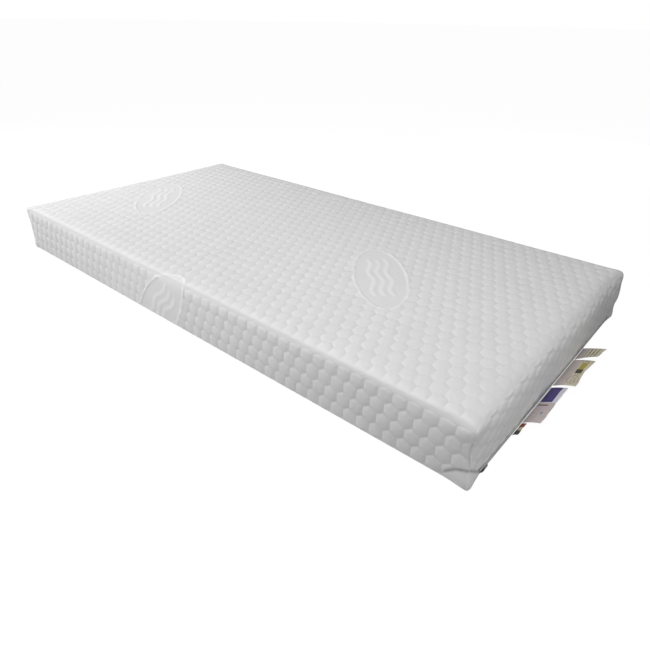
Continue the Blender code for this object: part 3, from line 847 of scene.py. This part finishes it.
def stitch_lip():
    """The line of stitches along the hem."""
    low, high = LIP_LOW, LIP_HIGH
    stitches = []
    for number in range(int((high.y - low.y - 0.02) / STITCH_PITCH)):
        y = low.y + 0.01 + number * STITCH_PITCH
        drift = lip_drift(y)
        place = Vector((high.x - 2 * LIP_SLIM - 0.0006 + 0.6 * drift, y, high.z - 0.0016 + drift))
        stitches.append(Matrix.Translation(place) @ Matrix.Rotation(math.radians(-35), 4, "Y"))
    points, faces = stitch_shape(STITCH_PITCH * STITCH_SHARE, STITCH_RADIUS)
    thread = thread_material("lip_thread", (0.58, 0.58, 0.58))
    run = repeated("lip_stitches", points, faces, stitches, thread)
    ride_for(run, "mattress", "thread")


def stitch_shape(length, radius):
    """One stitch along Y: a small bent spindle that dives in at both ends."""
    points = []
    for ring in range(STITCH_RINGS):
        t = ring / (STITCH_RINGS - 1)
        size = radius * (0.35 + 0.65 * math.sin(math.pi * t) ** 0.6)
        dive = -1.6 * radius * (2 * t - 1) ** 4
        for angle in circle(STITCH_SIDES):
            points.append((size * math.cos(angle) + dive, (t - 0.5) * length, size * math.sin(angle)))
    return points, [face[::-1] for face in tube_faces(STITCH_RINGS, STITCH_SIDES)]


def make_tapes():
    """The zip's two woven tapes, with a slight ripple along them."""
    finish = woven_material("tape_weave", (0.50, 0.50, 0.51), 1500)
    for name in ("upper", "lower"):
        node = "zip_tape_" + name
        low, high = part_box(node)
        lines = [np.linspace(low.x, high.x, 2), np.linspace(low.y, high.y, 221),
                 np.linspace(low.z, high.z, 7)]
        sharp, quads, _ = box_surface(lines)
        points = rounded(sharp, low, high, TAPE_ROUND, TAPE_ROUND, TAPE_ROUND)
        points[:, 0] += TAPE_RIPPLE * np.sin(points[:, 1] * 190) * np.sin(points[:, 2] * 500)
        tape = mesh_object(f"woven_tape_{name}", points, quads, [finish])
        ride_for(tape, "mattress", "zip_tape", node)


def tooth_shape(depth):
    """A moulded tooth that points down -Z from its root: a waisted head with soft edges."""
    outline = ((0.0, 0.0), (0.0007, -0.0002), (0.0007, -0.0013), (0.00045, -0.0018), (0.00045, -0.0026),
               (0.00075, -0.0031), (0.00070, -0.0037), (0.0004, -0.0040))
    half = list(outline) + [(-y, z) for y, z in reversed(outline[1:])]
    points = []
    for share, x in ((0.75, 0.0), (1.0, 0.0003), (1.0, depth - 0.0005), (0.7, depth)):
        points += [(x, y * share, -0.002 + (z + 0.002) * (0.5 + 0.5 * share)) for y, z in half]
    return points, tube_faces(4, len(half))


def make_chains():
    """The closed chain: two rows of moulded teeth that lock into each other."""
    finish = plastic_material("zip_teeth", (0.52, 0.52, 0.53), 0.42)
    for name, sign in (("upper", 1), ("lower", -1)):
        node = "zip_chain_" + name
        low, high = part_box(node)
        root = high.z if sign > 0 else low.z
        points, faces = tooth_shape(high.x - low.x)
        start = low.y + TOOTH_PITCH / 2 * (1.5 if sign > 0 else 0.5)
        places = []
        while start + TOOTH_PITCH * len(places) < high.y - 0.001:
            turn = Matrix.Rotation(0 if sign > 0 else math.pi, 4, "X")
            places.append(Matrix.Translation((low.x, start + TOOTH_PITCH * len(places), root)) @ turn)
        chain = repeated(f"zip_teeth_{name}", points, faces, places, finish)
        ride_for(chain, "mattress", "zip_chain", node)


def finish_metal():
    """The slider, its pull tab and the stops: plated metal with its edges broken."""
    metal = metal_material()
    for node in ("zip_slider", "zip_pull_tab", "zip_top_stop_upper", "zip_top_stop_lower",
                 "zip_bottom_stop"):
        finish_node(node, metal, METAL_EDGE)


def finish_node(node, finish, edge):
    """Gives a carried-over CAD node its material, and breaks its edges with a bevel."""
    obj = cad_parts[node]
    refinish(obj, finish)
    break_edges(obj, edge, METAL_EDGE_ANGLE, True)
    obj.data.shade_smooth()


# ---------------------------------------------------------------- the labels

def label_sheet(node, near_tilt, far_tilt, curl, wave, share=1.0):
    """A thin woven label from its seam to its free edge; UVs are metres along it and out from its seam."""
    low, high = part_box(node)
    span = high.y - low.y
    middle_tilt = math.radians((near_tilt + far_tilt) / 2)
    reach = share * (high.x - LABEL_SEAM_X) / math.cos(middle_tilt)
    rows, columns = max(6, round(span / 0.003)), max(8, round(reach / 0.002))
    v, u = np.meshgrid(np.linspace(0, 1, columns + 1), np.linspace(0, 1, rows + 1))
    tilt = np.radians(near_tilt + (far_tilt - near_tilt) * u)
    out = reach * v * (1 - wave / reach * (0.5 - 0.5 * np.cos(2 * np.pi * u)) * v)
    lift = curl * np.sin(np.pi * v * 0.9) * (0.6 + 0.4 * np.cos(2.2 * u * np.pi + 0.5))
    ripple = 0.0006 * v * np.sin(u * 9 + v * 3) + 0.0004 * v * np.sin(u * 23 + 1)
    height = lift + ripple
    x = LABEL_SEAM_X + 0.0004 + out * np.cos(tilt) - height * np.sin(tilt)
    z = LABEL_SEAM_Z + out * np.sin(tilt) + height * np.cos(tilt)
    points = np.stack([x, low.y + span * u, z], -1).reshape(-1, 3)
    i, j = np.meshgrid(np.arange(rows), np.arange(columns), indexing="ij")
    i, j, row = i.ravel(), j.ravel(), columns + 1
    quads = np.stack([i * row + j, i * row + j + 1, (i + 1) * row + j + 1, (i + 1) * row + j], 1)
    place = np.stack([span * u, reach * v], -1).reshape(-1, 2)
    label = mesh_object(node + "_cloth", points, quads)
    layer = label.data.uv_layers.new(name="cloth")
    layer.data.foreach_set("uv", place[quads.ravel()].astype(np.float32).ravel())
    thicken(label, LABEL_THICKNESS, 0)
    return label


def make_labels():
    """The four sewn-in labels, each with its shape, its ground colour and its printed blocks."""
    cream, beige, pale = (0.66, 0.60, 0.47), (0.60, 0.53, 0.51), (0.68, 0.68, 0.75)
    dark, grey, olive, blue = (0.06, 0.05, 0.03), (0.24, 0.21, 0.14), (0.40, 0.34, 0.05), (0.045, 0.028, 0.17)
    specs = (
        ("label_care", "care_flap", "label_cream", (31, 22, 0.0020, 0.0), beige, (
            Print(0.0, 0.078, 0.022, 0.100, cream),
            Print(0.006, 0.072, 0.026, 0.060, (0.17, 0.15, 0.09), rows=0.0100, broken=0.30),
            Print(0.002, 0.076, 0.0215, 0.0235, grey))),
        ("label_size", "size_flap", "label_beige", (23, 21, 0.0030, 0.006), beige, (
            Print(0.0, 0.161, 0.029, 0.100, cream),
            Print(0.142, 0.158, 0.028, 0.060, dark, rows=0.0075, broken=0.46),
            Print(0.100, 0.140, 0.034, 0.050, olive),
            Print(0.078, 0.100, 0.032, 0.052, dark),
            Print(0.066, 0.076, 0.034, 0.052, grey, rows=0.0060, broken=0.40),
            Print(0.016, 0.060, 0.036, 0.052, grey, rows=0.0075, broken=0.50),
            Print(0.012, 0.066, 0.024, 0.056, grey, ring=True))),
        ("label_maker", "maker_flap", "label_blue", (26, 26, 0.0020, 0.0), (0.60, 0.52, 0.52), (
            Print(0.100, 0.185, 0.0, 0.060, pale),
            Print(0.104, 0.183, 0.003, 0.034, blue),
            Print(0.112, 0.174, 0.010, 0.027, (0.085, 0.062, 0.24), rows=0.0060, broken=0.40),
            Print(0.086, 0.092, 0.004, 0.030, (0.16, 0.07, 0.06)),
            Print(0.044, 0.054, 0.026, 0.030, (0.14, 0.14, 0.34)),
            Print(0.014, 0.078, 0.006, 0.022, (0.44, 0.38, 0.38), rows=0.0060))),
        ("label_origin_tab", "origin_flap", "label_red", (28, 28, 0.0010, 0.0, 0.6), (0.66, 0.58, 0.48), (
            Print(0.035, 0.055, 0.0, 0.022, (0.30, 0.06, 0.02)),
            Print(0.0, 0.022, 0.0, 0.022, (0.025, 0.050, 0.018)))),
    )
    for node, body, slot, shape, colour, prints in specs:
        label = label_sheet(node, *shape)
        label.data.materials.append(label_material(node, colour, prints))
        ride_for(label, body, slot, node)


def make_tacks():
    """The bar tacks at both ends of each label: short rows of stitches."""
    thread = thread_material("tack_thread", (0.84, 0.84, 0.84))
    for node in [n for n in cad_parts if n.startswith("bar_tack")]:
        low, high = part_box(node)
        points, faces = stitch_shape(high.z - low.z + 0.0014, TACK_RADIUS)
        turn = Matrix.Rotation(math.radians(90), 4, "X")
        places = [Matrix.Translation((low.x + 0.0001, y, (low.z + high.z) / 2)) @ turn
                  for y in np.arange(low.y + 0.0002, high.y, TACK_PITCH)]
        tack = repeated(node.replace("bar_tack", "tack_stitches"), points, faces, places, thread)
        ride_for(tack, "mattress", "thread", node)


# ---------------------------------------------------------------- materials

class Print:
    """A printed block on a label, in metres; rows breaks it into fine lines, ring makes it an oval line."""

    def __init__(self, start, end, low, high, colour, rows=0.0, broken=0.42, ring=False):
        self.start, self.end, self.low, self.high = start, end, low, high
        self.colour, self.rows, self.broken, self.ring = colour, rows, broken, ring


def new_material(name, colour, roughness, sheen=0.0, metallic=0.0):
    """A Principled material and its shader."""
    made = bpy.data.materials.new(name)
    made.use_nodes = True
    shader = made.node_tree.nodes["Principled BSDF"]
    shader.inputs["Base Color"].default_value = (*colour, 1)
    shader.inputs["Roughness"].default_value = roughness
    shader.inputs["Metallic"].default_value = metallic
    shader.inputs["Sheen Weight"].default_value = sheen
    return made, shader


def link(made, output, socket):
    """Links a node's output to another's input."""
    made.node_tree.links.new(output, socket)


def add_node(made, kind, **inputs):
    """Adds a node and sets its inputs by name."""
    node = made.node_tree.nodes.new(kind)
    for key, value in inputs.items():
        node.inputs[key.replace("_", " ")].default_value = value
    return node


def math_node(made, operation, *values):
    """Adds a math node and returns its output; a value is a number or another node's output."""
    node = made.node_tree.nodes.new("ShaderNodeMath")
    node.operation = operation
    for number, value in enumerate(values):
        if isinstance(value, (int, float)):
            node.inputs[number].default_value = value
        else:
            link(made, value, node.inputs[number])
    return node.outputs[0]


def ramp_node(made, source, stops):
    """Adds a colour ramp through (place, colour) stops and returns its colour."""
    node = made.node_tree.nodes.new("ShaderNodeValToRGB")
    elements = node.color_ramp.elements
    while len(elements) < len(stops):
        elements.new(0.5)
    for element, (place, colour) in zip(elements, stops):
        element.position = place
        element.color = (*colour, 1) if len(colour) == 3 else colour
    link(made, source, node.inputs["Fac"])
    return node.outputs["Color"]


def mix_colours(made, factor, first, second, blend="MIX"):
    """Mixes two colours, given as numbers or outputs, and returns the result."""
    node = made.node_tree.nodes.new("ShaderNodeMix")
    node.data_type = "RGBA"
    node.blend_type = blend
    for socket, value in ((node.inputs[0], factor), (node.inputs[6], first), (node.inputs[7], second)):
        if isinstance(value, (int, float)):
            socket.default_value = value
        elif isinstance(value, tuple):
            socket.default_value = (*value, 1)
        else:
            link(made, value, socket)
    return node.outputs[2]


def own_coordinates(made):
    """The piece's own coordinates, in metres."""
    return made.node_tree.nodes.new("ShaderNodeTexCoord").outputs["Object"]


def cloth_uv(made):
    """The place on the uncut cloth, in metres."""
    node = made.node_tree.nodes.new("ShaderNodeUVMap")
    node.uv_map = "cloth"
    return node.outputs["UV"]


def attribute(made, name):
    """An attribute that the mesh carries."""
    node = made.node_tree.nodes.new("ShaderNodeAttribute")
    node.attribute_name = name
    return node.outputs["Fac"]


def noise(made, vector, scale, detail=2.0, roughness=0.5):
    """A noise texture's value."""
    node = add_node(made, "ShaderNodeTexNoise", Scale=scale, Detail=detail, Roughness=roughness)
    link(made, vector, node.inputs["Vector"])
    return node.outputs["Fac"]


def bands(made, vector, direction, scale, distortion=0.0, detail=0.0):
    """A wave texture's bands."""
    node = add_node(made, "ShaderNodeTexWave", Scale=scale, Distortion=distortion, Detail=detail)
    node.bands_direction = direction
    link(made, vector, node.inputs["Vector"])
    return node.outputs["Fac"]


def shaded(made, height, colour, dark, end, start=0.0, bright=1.0):
    """A ramp over a height, from a dark share of a colour to a bright one."""
    return ramp_node(made, height, ((start, tuple(c * dark for c in colour)),
                                    (end, tuple(c * bright for c in colour))))


def clouded(made, place, colour, scale, darkest):
    """A colour with slow, slightly darker clouds over it."""
    cloud = ramp_node(made, noise(made, place, scale, 3.0), ((0.3, darkest), (0.7, (1, 1, 1))))
    return mix_colours(made, 1.0, colour, cloud, "MULTIPLY")


def dress(made, shader, colour, height, strength, distance):
    """Links a colour and the bump of a height to the shader, and returns the material."""
    link(made, colour, shader.inputs["Base Color"])
    bump = add_node(made, "ShaderNodeBump", Strength=strength, Distance=distance)
    link(made, height, bump.inputs["Height"])
    link(made, bump.outputs["Normal"], shader.inputs["Normal"])
    return made


def knit_material():
    """White double-jacquard knit: fine courses, crisp creases darkened with painted shade, and a painted sheen
    as a brighter colour on the ovals.
    """
    made, shader = new_material("knit", KNIT_COLOUR, 0.88, sheen=0.04)
    place = cloth_uv(made)
    side, pattern, yarn = (attribute(made, name) for name in ("side", "pattern", "yarn"))
    share = hexagon_share(made, place, side)
    # Painted shade: the knit's colour is darkened along the pillows' creases, more on the walls than on top
    line = add_node(made, "ShaderNodeMapRange", From_Min=CREASE_START, From_Max=1.0)
    line.interpolation_type = "SMOOTHSTEP"
    link(made, share, line.inputs["Value"])
    crease = math_node(made, "MULTIPLY", line.outputs["Result"], pattern)
    depth = math_node(made, "MULTIPLY_ADD", side, 1 - CREASE_ON_TOP, CREASE_ON_TOP)
    crease = math_node(made, "MULTIPLY", crease, depth)
    colour = mix_colours(made, crease, KNIT_COLOUR, tuple(c * CREASE_SHADE for c in KNIT_COLOUR))
    colour = clouded(made, place, colour, 9.0, (0.965, 0.965, 0.965))
    courses = math_node(made, "MULTIPLY", bands(made, place, "X", 260.0, 1.5, 1.0),
                        bands(made, place, "Y", 200.0, 1.5, 1.0))
    colour = mix_colours(made, 1.0, colour, shaded(made, courses, (1, 1, 1), 0.955, 0.5), "MULTIPLY")
    # Painted sheen: the ovals' rims and wave lines get a brighter colour
    colour = mix_colours(made, yarn, colour, OVAL_SHEEN_COLOUR)
    # Painted shade: the corner fold's crease and the rounded top edges are darkened through the fold attribute
    colour = mix_colours(made, attribute(made, "fold"), colour, tuple(c * FOLD_SHADE for c in KNIT_COLOUR))
    plain = math_node(made, "MULTIPLY_ADD", yarn, -0.12, 0.86)
    rough = math_node(made, "MULTIPLY_ADD", noise(made, place, 60.0), 0.08, plain)
    link(made, rough, shader.inputs["Roughness"])
    dome = math_node(made, "SUBTRACT", 1.0, math_node(made, "POWER", share, DOME_POWER))
    bump = math_node(made, "MULTIPLY_ADD", side, BUMP_SIDE - BUMP_TOP, BUMP_TOP)
    height = math_node(made, "MULTIPLY", math_node(made, "MULTIPLY", dome, bump), pattern)
    height = math_node(made, "MULTIPLY_ADD", courses, COURSE_DEPTH, height)
    return dress(made, shader, colour, height, 1.0, 1.0)


def hexagon_share(made, place, side):
    """How far out from its pillow's middle a place on the uncut cloth is: 1 is on a crease."""
    split = made.node_tree.nodes.new("ShaderNodeSeparateXYZ")
    link(made, place, split.inputs[0])
    slipped = math_node(made, "MULTIPLY_ADD", side, -HEX_SLIP, split.outputs[1])
    reaches = []
    for shift in (0.0, 0.5):
        start_p = PATTERN_REPEATS * HEX_PITCH - HEX_OFFSET_P - shift * HEX_PITCH
        start_q = PATTERN_REPEATS * HEX_ROW - HEX_OFFSET_Q - 2 * shift * HEX_ROW
        across = math_node(made, "ADD", split.outputs[0], start_p)
        across = math_node(made, "PINGPONG", across, HEX_PITCH / 2)
        along = math_node(made, "PINGPONG", math_node(made, "ADD", slipped, start_q), HEX_ROW)
        slanted = math_node(made, "MULTIPLY", along, 0.75 * HEX_PITCH / HEX_ROW)
        slanted = math_node(made, "MULTIPLY_ADD", across, 0.5, slanted)
        reaches.append(math_node(made, "MAXIMUM", across, slanted))
    return math_node(made, "DIVIDE", math_node(made, "MINIMUM", *reaches), HEX_PITCH / 2)


def knit_trim_material():
    """The same knit, rolled into a hem, on its own coordinates, drawn darker than the cover's knit as painted
    shade.
    """
    made, shader = new_material("knit_hem_painted_shade", KNIT_COLOUR, 0.86, sheen=0.15)
    place = own_coordinates(made)
    courses = math_node(made, "MULTIPLY", bands(made, place, "Y", 260.0, 1.2),
                        bands(made, place, "Z", 420.0, 1.2))
    # Painted shade: the hem's colour is 60 to 70 per cent of the knit's
    tone = shaded(made, courses, KNIT_COLOUR, 0.60, 0.5, bright=0.70)
    return dress(made, shader, clouded(made, place, tone, 14.0, (0.95, 0.95, 0.955)), courses, 0.5, 0.0004)


def fluff_material():
    """Loose white polyester fibre."""
    made, shader = new_material("fibre", (0.80, 0.80, 0.80), 0.97, sheen=0.4)
    fibres = noise(made, own_coordinates(made), 420.0, 4.0, 0.75)
    tone = ramp_node(made, fibres, ((0.3, (0.70, 0.70, 0.70)), (0.7, (0.84, 0.84, 0.84))))
    return dress(made, shader, tone, fibres, 0.7, 0.0010)


def foam_material(slot, colour, cell):
    """Open-cell foam: fine pores, with a slow change of colour."""
    name = slot + "_cells"
    if name in bpy.data.materials:
        return bpy.data.materials[name]
    made, shader = new_material(name, colour, 0.93)
    place = own_coordinates(made)
    pores = add_node(made, "ShaderNodeTexVoronoi", Scale=float(cell))
    link(made, place, pores.inputs["Vector"])
    tone = shaded(made, pores.outputs["Distance"], colour, 0.72, 0.6, start=0.1)
    tone = clouded(made, place, tone, 5.0, (0.93, 0.93, 0.92))
    return dress(made, shader, tone, pores.outputs["Distance"], 0.6, 0.0006)


def ribbed_material(name, colour, ribs):
    """Fine ribbed stockinette, with a number of ribs to the metre."""
    made, shader = new_material(name, colour, 0.92, sheen=0.2)
    height = bands(made, own_coordinates(made), "Y", ribs / BANDS_PER_SCALE, 0.8)
    return dress(made, shader, shaded(made, height, colour, 0.86, 0.6), height, 0.5, 0.0004)


def woven_material(name, colour, threads):
    """A plain weave, with a number of threads to the metre."""
    made, shader = new_material(name, colour, 0.82, sheen=0.1)
    place = own_coordinates(made)
    warp, weft_x, weft_z = (bands(made, place, axis, threads / BANDS_PER_SCALE, 0.3) for axis in "YXZ")
    height = math_node(made, "MULTIPLY", warp, math_node(made, "MAXIMUM", weft_x, weft_z))
    tone = clouded(made, place, shaded(made, height, colour, 0.72, 0.7), 30.0, (0.9, 0.9, 0.9))
    return dress(made, shader, tone, height, 0.6, 0.0004)


def thread_material(name, colour):
    """Twisted polyester sewing thread."""
    made, shader = new_material(name, colour, 0.55, sheen=0.3)
    twist = bands(made, own_coordinates(made), "DIAGONAL", 700.0, 0.5)
    return dress(made, shader, shaded(made, twist, colour, 0.78, 0.6), twist, 0.5, 0.0002)


def plastic_material(name, colour, roughness):
    """Moulded plastic with a faint matt grain."""
    made, shader = new_material(name, colour, roughness)
    place = own_coordinates(made)
    grain = noise(made, place, 1800.0, 2.0)
    link(made, math_node(made, "MULTIPLY_ADD", grain, 0.2, roughness - 0.1), shader.inputs["Roughness"])
    tone = shaded(made, noise(made, place, 60.0), colour, 0.9, 0.7, start=0.3)
    return dress(made, shader, tone, grain, 0.15, 0.0001)


def metal_material():
    """Nickel-plated zip metal, a little dulled and scuffed."""
    made, shader = new_material("plated_metal", (0.42, 0.42, 0.43), 0.35, metallic=1.0)
    scuffs = noise(made, own_coordinates(made), 900.0, 4.0, 0.7)
    link(made, math_node(made, "MULTIPLY_ADD", scuffs, 0.35, 0.2), shader.inputs["Roughness"])
    tone = ramp_node(made, scuffs, ((0.3, (0.30, 0.30, 0.31)), (0.7, (0.48, 0.48, 0.49))))
    return dress(made, shader, tone, scuffs, 0.2, 0.0001)


def print_share(made, along, out, block):
    """1 where a printed block's ink is, for a place in metres along a label and out from its seam."""
    half_along, half_out = (block.end - block.start) / 2, (block.high - block.low) / 2
    middle_along, middle_out = block.start + half_along, block.low + half_out
    if block.ring:
        squares = []
        for source, middle, half in ((along, middle_along, half_along), (out, middle_out, half_out)):
            offset = math_node(made, "ABSOLUTE", math_node(made, "SUBTRACT", source, middle))
            squares.append(math_node(made, "POWER", math_node(made, "DIVIDE", offset, half), 2.0))
        return math_node(made, "COMPARE", math_node(made, "ADD", *squares), 0.86, 0.07)
    inside = math_node(made, "MULTIPLY", math_node(made, "COMPARE", along, middle_along, half_along),
                       math_node(made, "COMPARE", out, middle_out, half_out))
    if block.rows:
        inside = math_node(made, "MULTIPLY", inside, broken_lines(made, along, out, block))
    return inside


def broken_lines(made, along, out, block):
    """1 on fine lines that are broken at uneven places."""
    rows = math_node(made, "DIVIDE", out, block.rows)
    line = math_node(made, "LESS_THAN", math_node(made, "FRACT", rows), 0.34)
    cells = add_node(made, "ShaderNodeCombineXYZ")
    link(made, math_node(made, "MULTIPLY", along, 400.0), cells.inputs[0])
    link(made, math_node(made, "MULTIPLY", math_node(made, "FLOOR", rows), 7.3), cells.inputs[1])
    gaps = math_node(made, "GREATER_THAN", noise(made, cells.outputs[0], 1.0, 0.0), block.broken)
    return math_node(made, "MULTIPLY", line, gaps)


def label_material(name, colour, prints):
    """Satin label tape with its woven-in or printed blocks and lines."""
    made, shader = new_material(name + "_satin", colour, 0.6, sheen=0.1)
    place = cloth_uv(made)
    split = made.node_tree.nodes.new("ShaderNodeSeparateXYZ")
    link(made, place, split.inputs[0])
    painted = shaded(made, noise(made, place, 40.0, 3.0), colour, 0.92, 0.7, start=0.3)
    for block in prints:
        ink = print_share(made, split.outputs[0], split.outputs[1], block)
        painted = mix_colours(made, ink, painted, block.colour)
    weave = math_node(made, "MULTIPLY", bands(made, place, "X", 900.0), bands(made, place, "Y", 900.0))
    painted = mix_colours(made, 1.0, painted, shaded(made, weave, (1, 1, 1), 0.88, 0.6), "MULTIPLY")
    return dress(made, shader, painted, weave, 0.4, 0.0002)


# ---------------------------------------------------------------- the studio

def glow_material(name, emission, diffuse):
    """A matt white that is partly lit from itself, so that it stays near white in any view."""
    made, shader = new_material(name, (diffuse, diffuse, diffuse), 1.0)
    shader.inputs["Specular IOR Level"].default_value = 0.0
    shader.inputs["Emission Color"].default_value = (1, 1, 1, 1)
    shader.inputs["Emission Strength"].default_value = emission
    return made


def make_world():
    """Soft grey light from all round."""
    world = bpy.data.worlds.new("studio")
    bpy.context.scene.world = world
    world.use_nodes = True
    background = world.node_tree.nodes["Background"]
    background.inputs["Color"].default_value = (1, 1, 1, 1)
    background.inputs["Strength"].default_value = WORLD_LIGHT


def make_studio():
    """A pale floor and backdrop that show to the camera and light nothing."""
    ring = [(STUDIO_SIZE * math.cos(a), STUDIO_SIZE * math.sin(a), 0) for a in circle(96)]
    floor = mesh_object("studio_floor", ring, [range(96)], [glow_material("floor_white", 0.97, 0.08)],
                        smooth=False)
    floor.location.z = -0.0005
    builder = bmesh.new()
    bmesh.ops.create_uvsphere(builder, u_segments=48, v_segments=24, radius=STUDIO_SIZE)
    mesh = bpy.data.meshes.new("studio_backdrop")
    builder.to_mesh(mesh)
    builder.free()
    mesh.materials.append(glow_material("backdrop_white", 1.0, 0.0))
    backdrop = add_object("studio_backdrop", mesh)
    for stage in (floor, backdrop):
        stage.visible_diffuse = stage.visible_glossy = stage.visible_transmission = False
    backdrop.visible_shadow = False


def make_lights():
    """The world's light and the soft lamps, all aimed at the origin and hidden from the camera."""
    make_world()
    for name, place, power, width in LIGHTS:
        light = bpy.data.lights.new(name, "AREA")
        light.energy = power
        light.size = width
        lamp = add_object(name, light)
        lamp.location = place
        lamp.visible_camera = False
        lamp.rotation_euler = (-Vector(place)).to_track_quat("-Z", "Y").to_euler()


def make_camera():
    """The camera, from its own right and up directions, and the plain view transform."""
    data = bpy.data.cameras.new("camera")
    data.lens = 30.0
    data.sensor_width = 36.0
    data.shift_x, data.shift_y = CAMERA_SHIFT
    camera = add_object("camera", data)
    right, up = Vector(CAMERA_RIGHT), Vector(CAMERA_UP)
    turn = Matrix((right, up, right.cross(up))).transposed().to_4x4()
    camera.matrix_world = Matrix.Translation(CAMERA_PLACE) @ turn
    bpy.context.scene.camera = camera
    bpy.context.scene.view_settings.view_transform = "Standard"


def main():
    """Builds the studio and every piece."""
    make_studio()
    make_lights()
    make_camera()
    make_cover()
    make_corner_seams()
    make_foams()
    make_sleeve()
    make_base()
    make_lip()
    stitch_lip()
    make_tapes()
    make_chains()
    finish_metal()
    make_labels()
    make_tacks()
    finish_node("base_seam_binding", woven_material("binding_weave", (0.80, 0.80, 0.80), 900), BINDING_EDGE)


main()
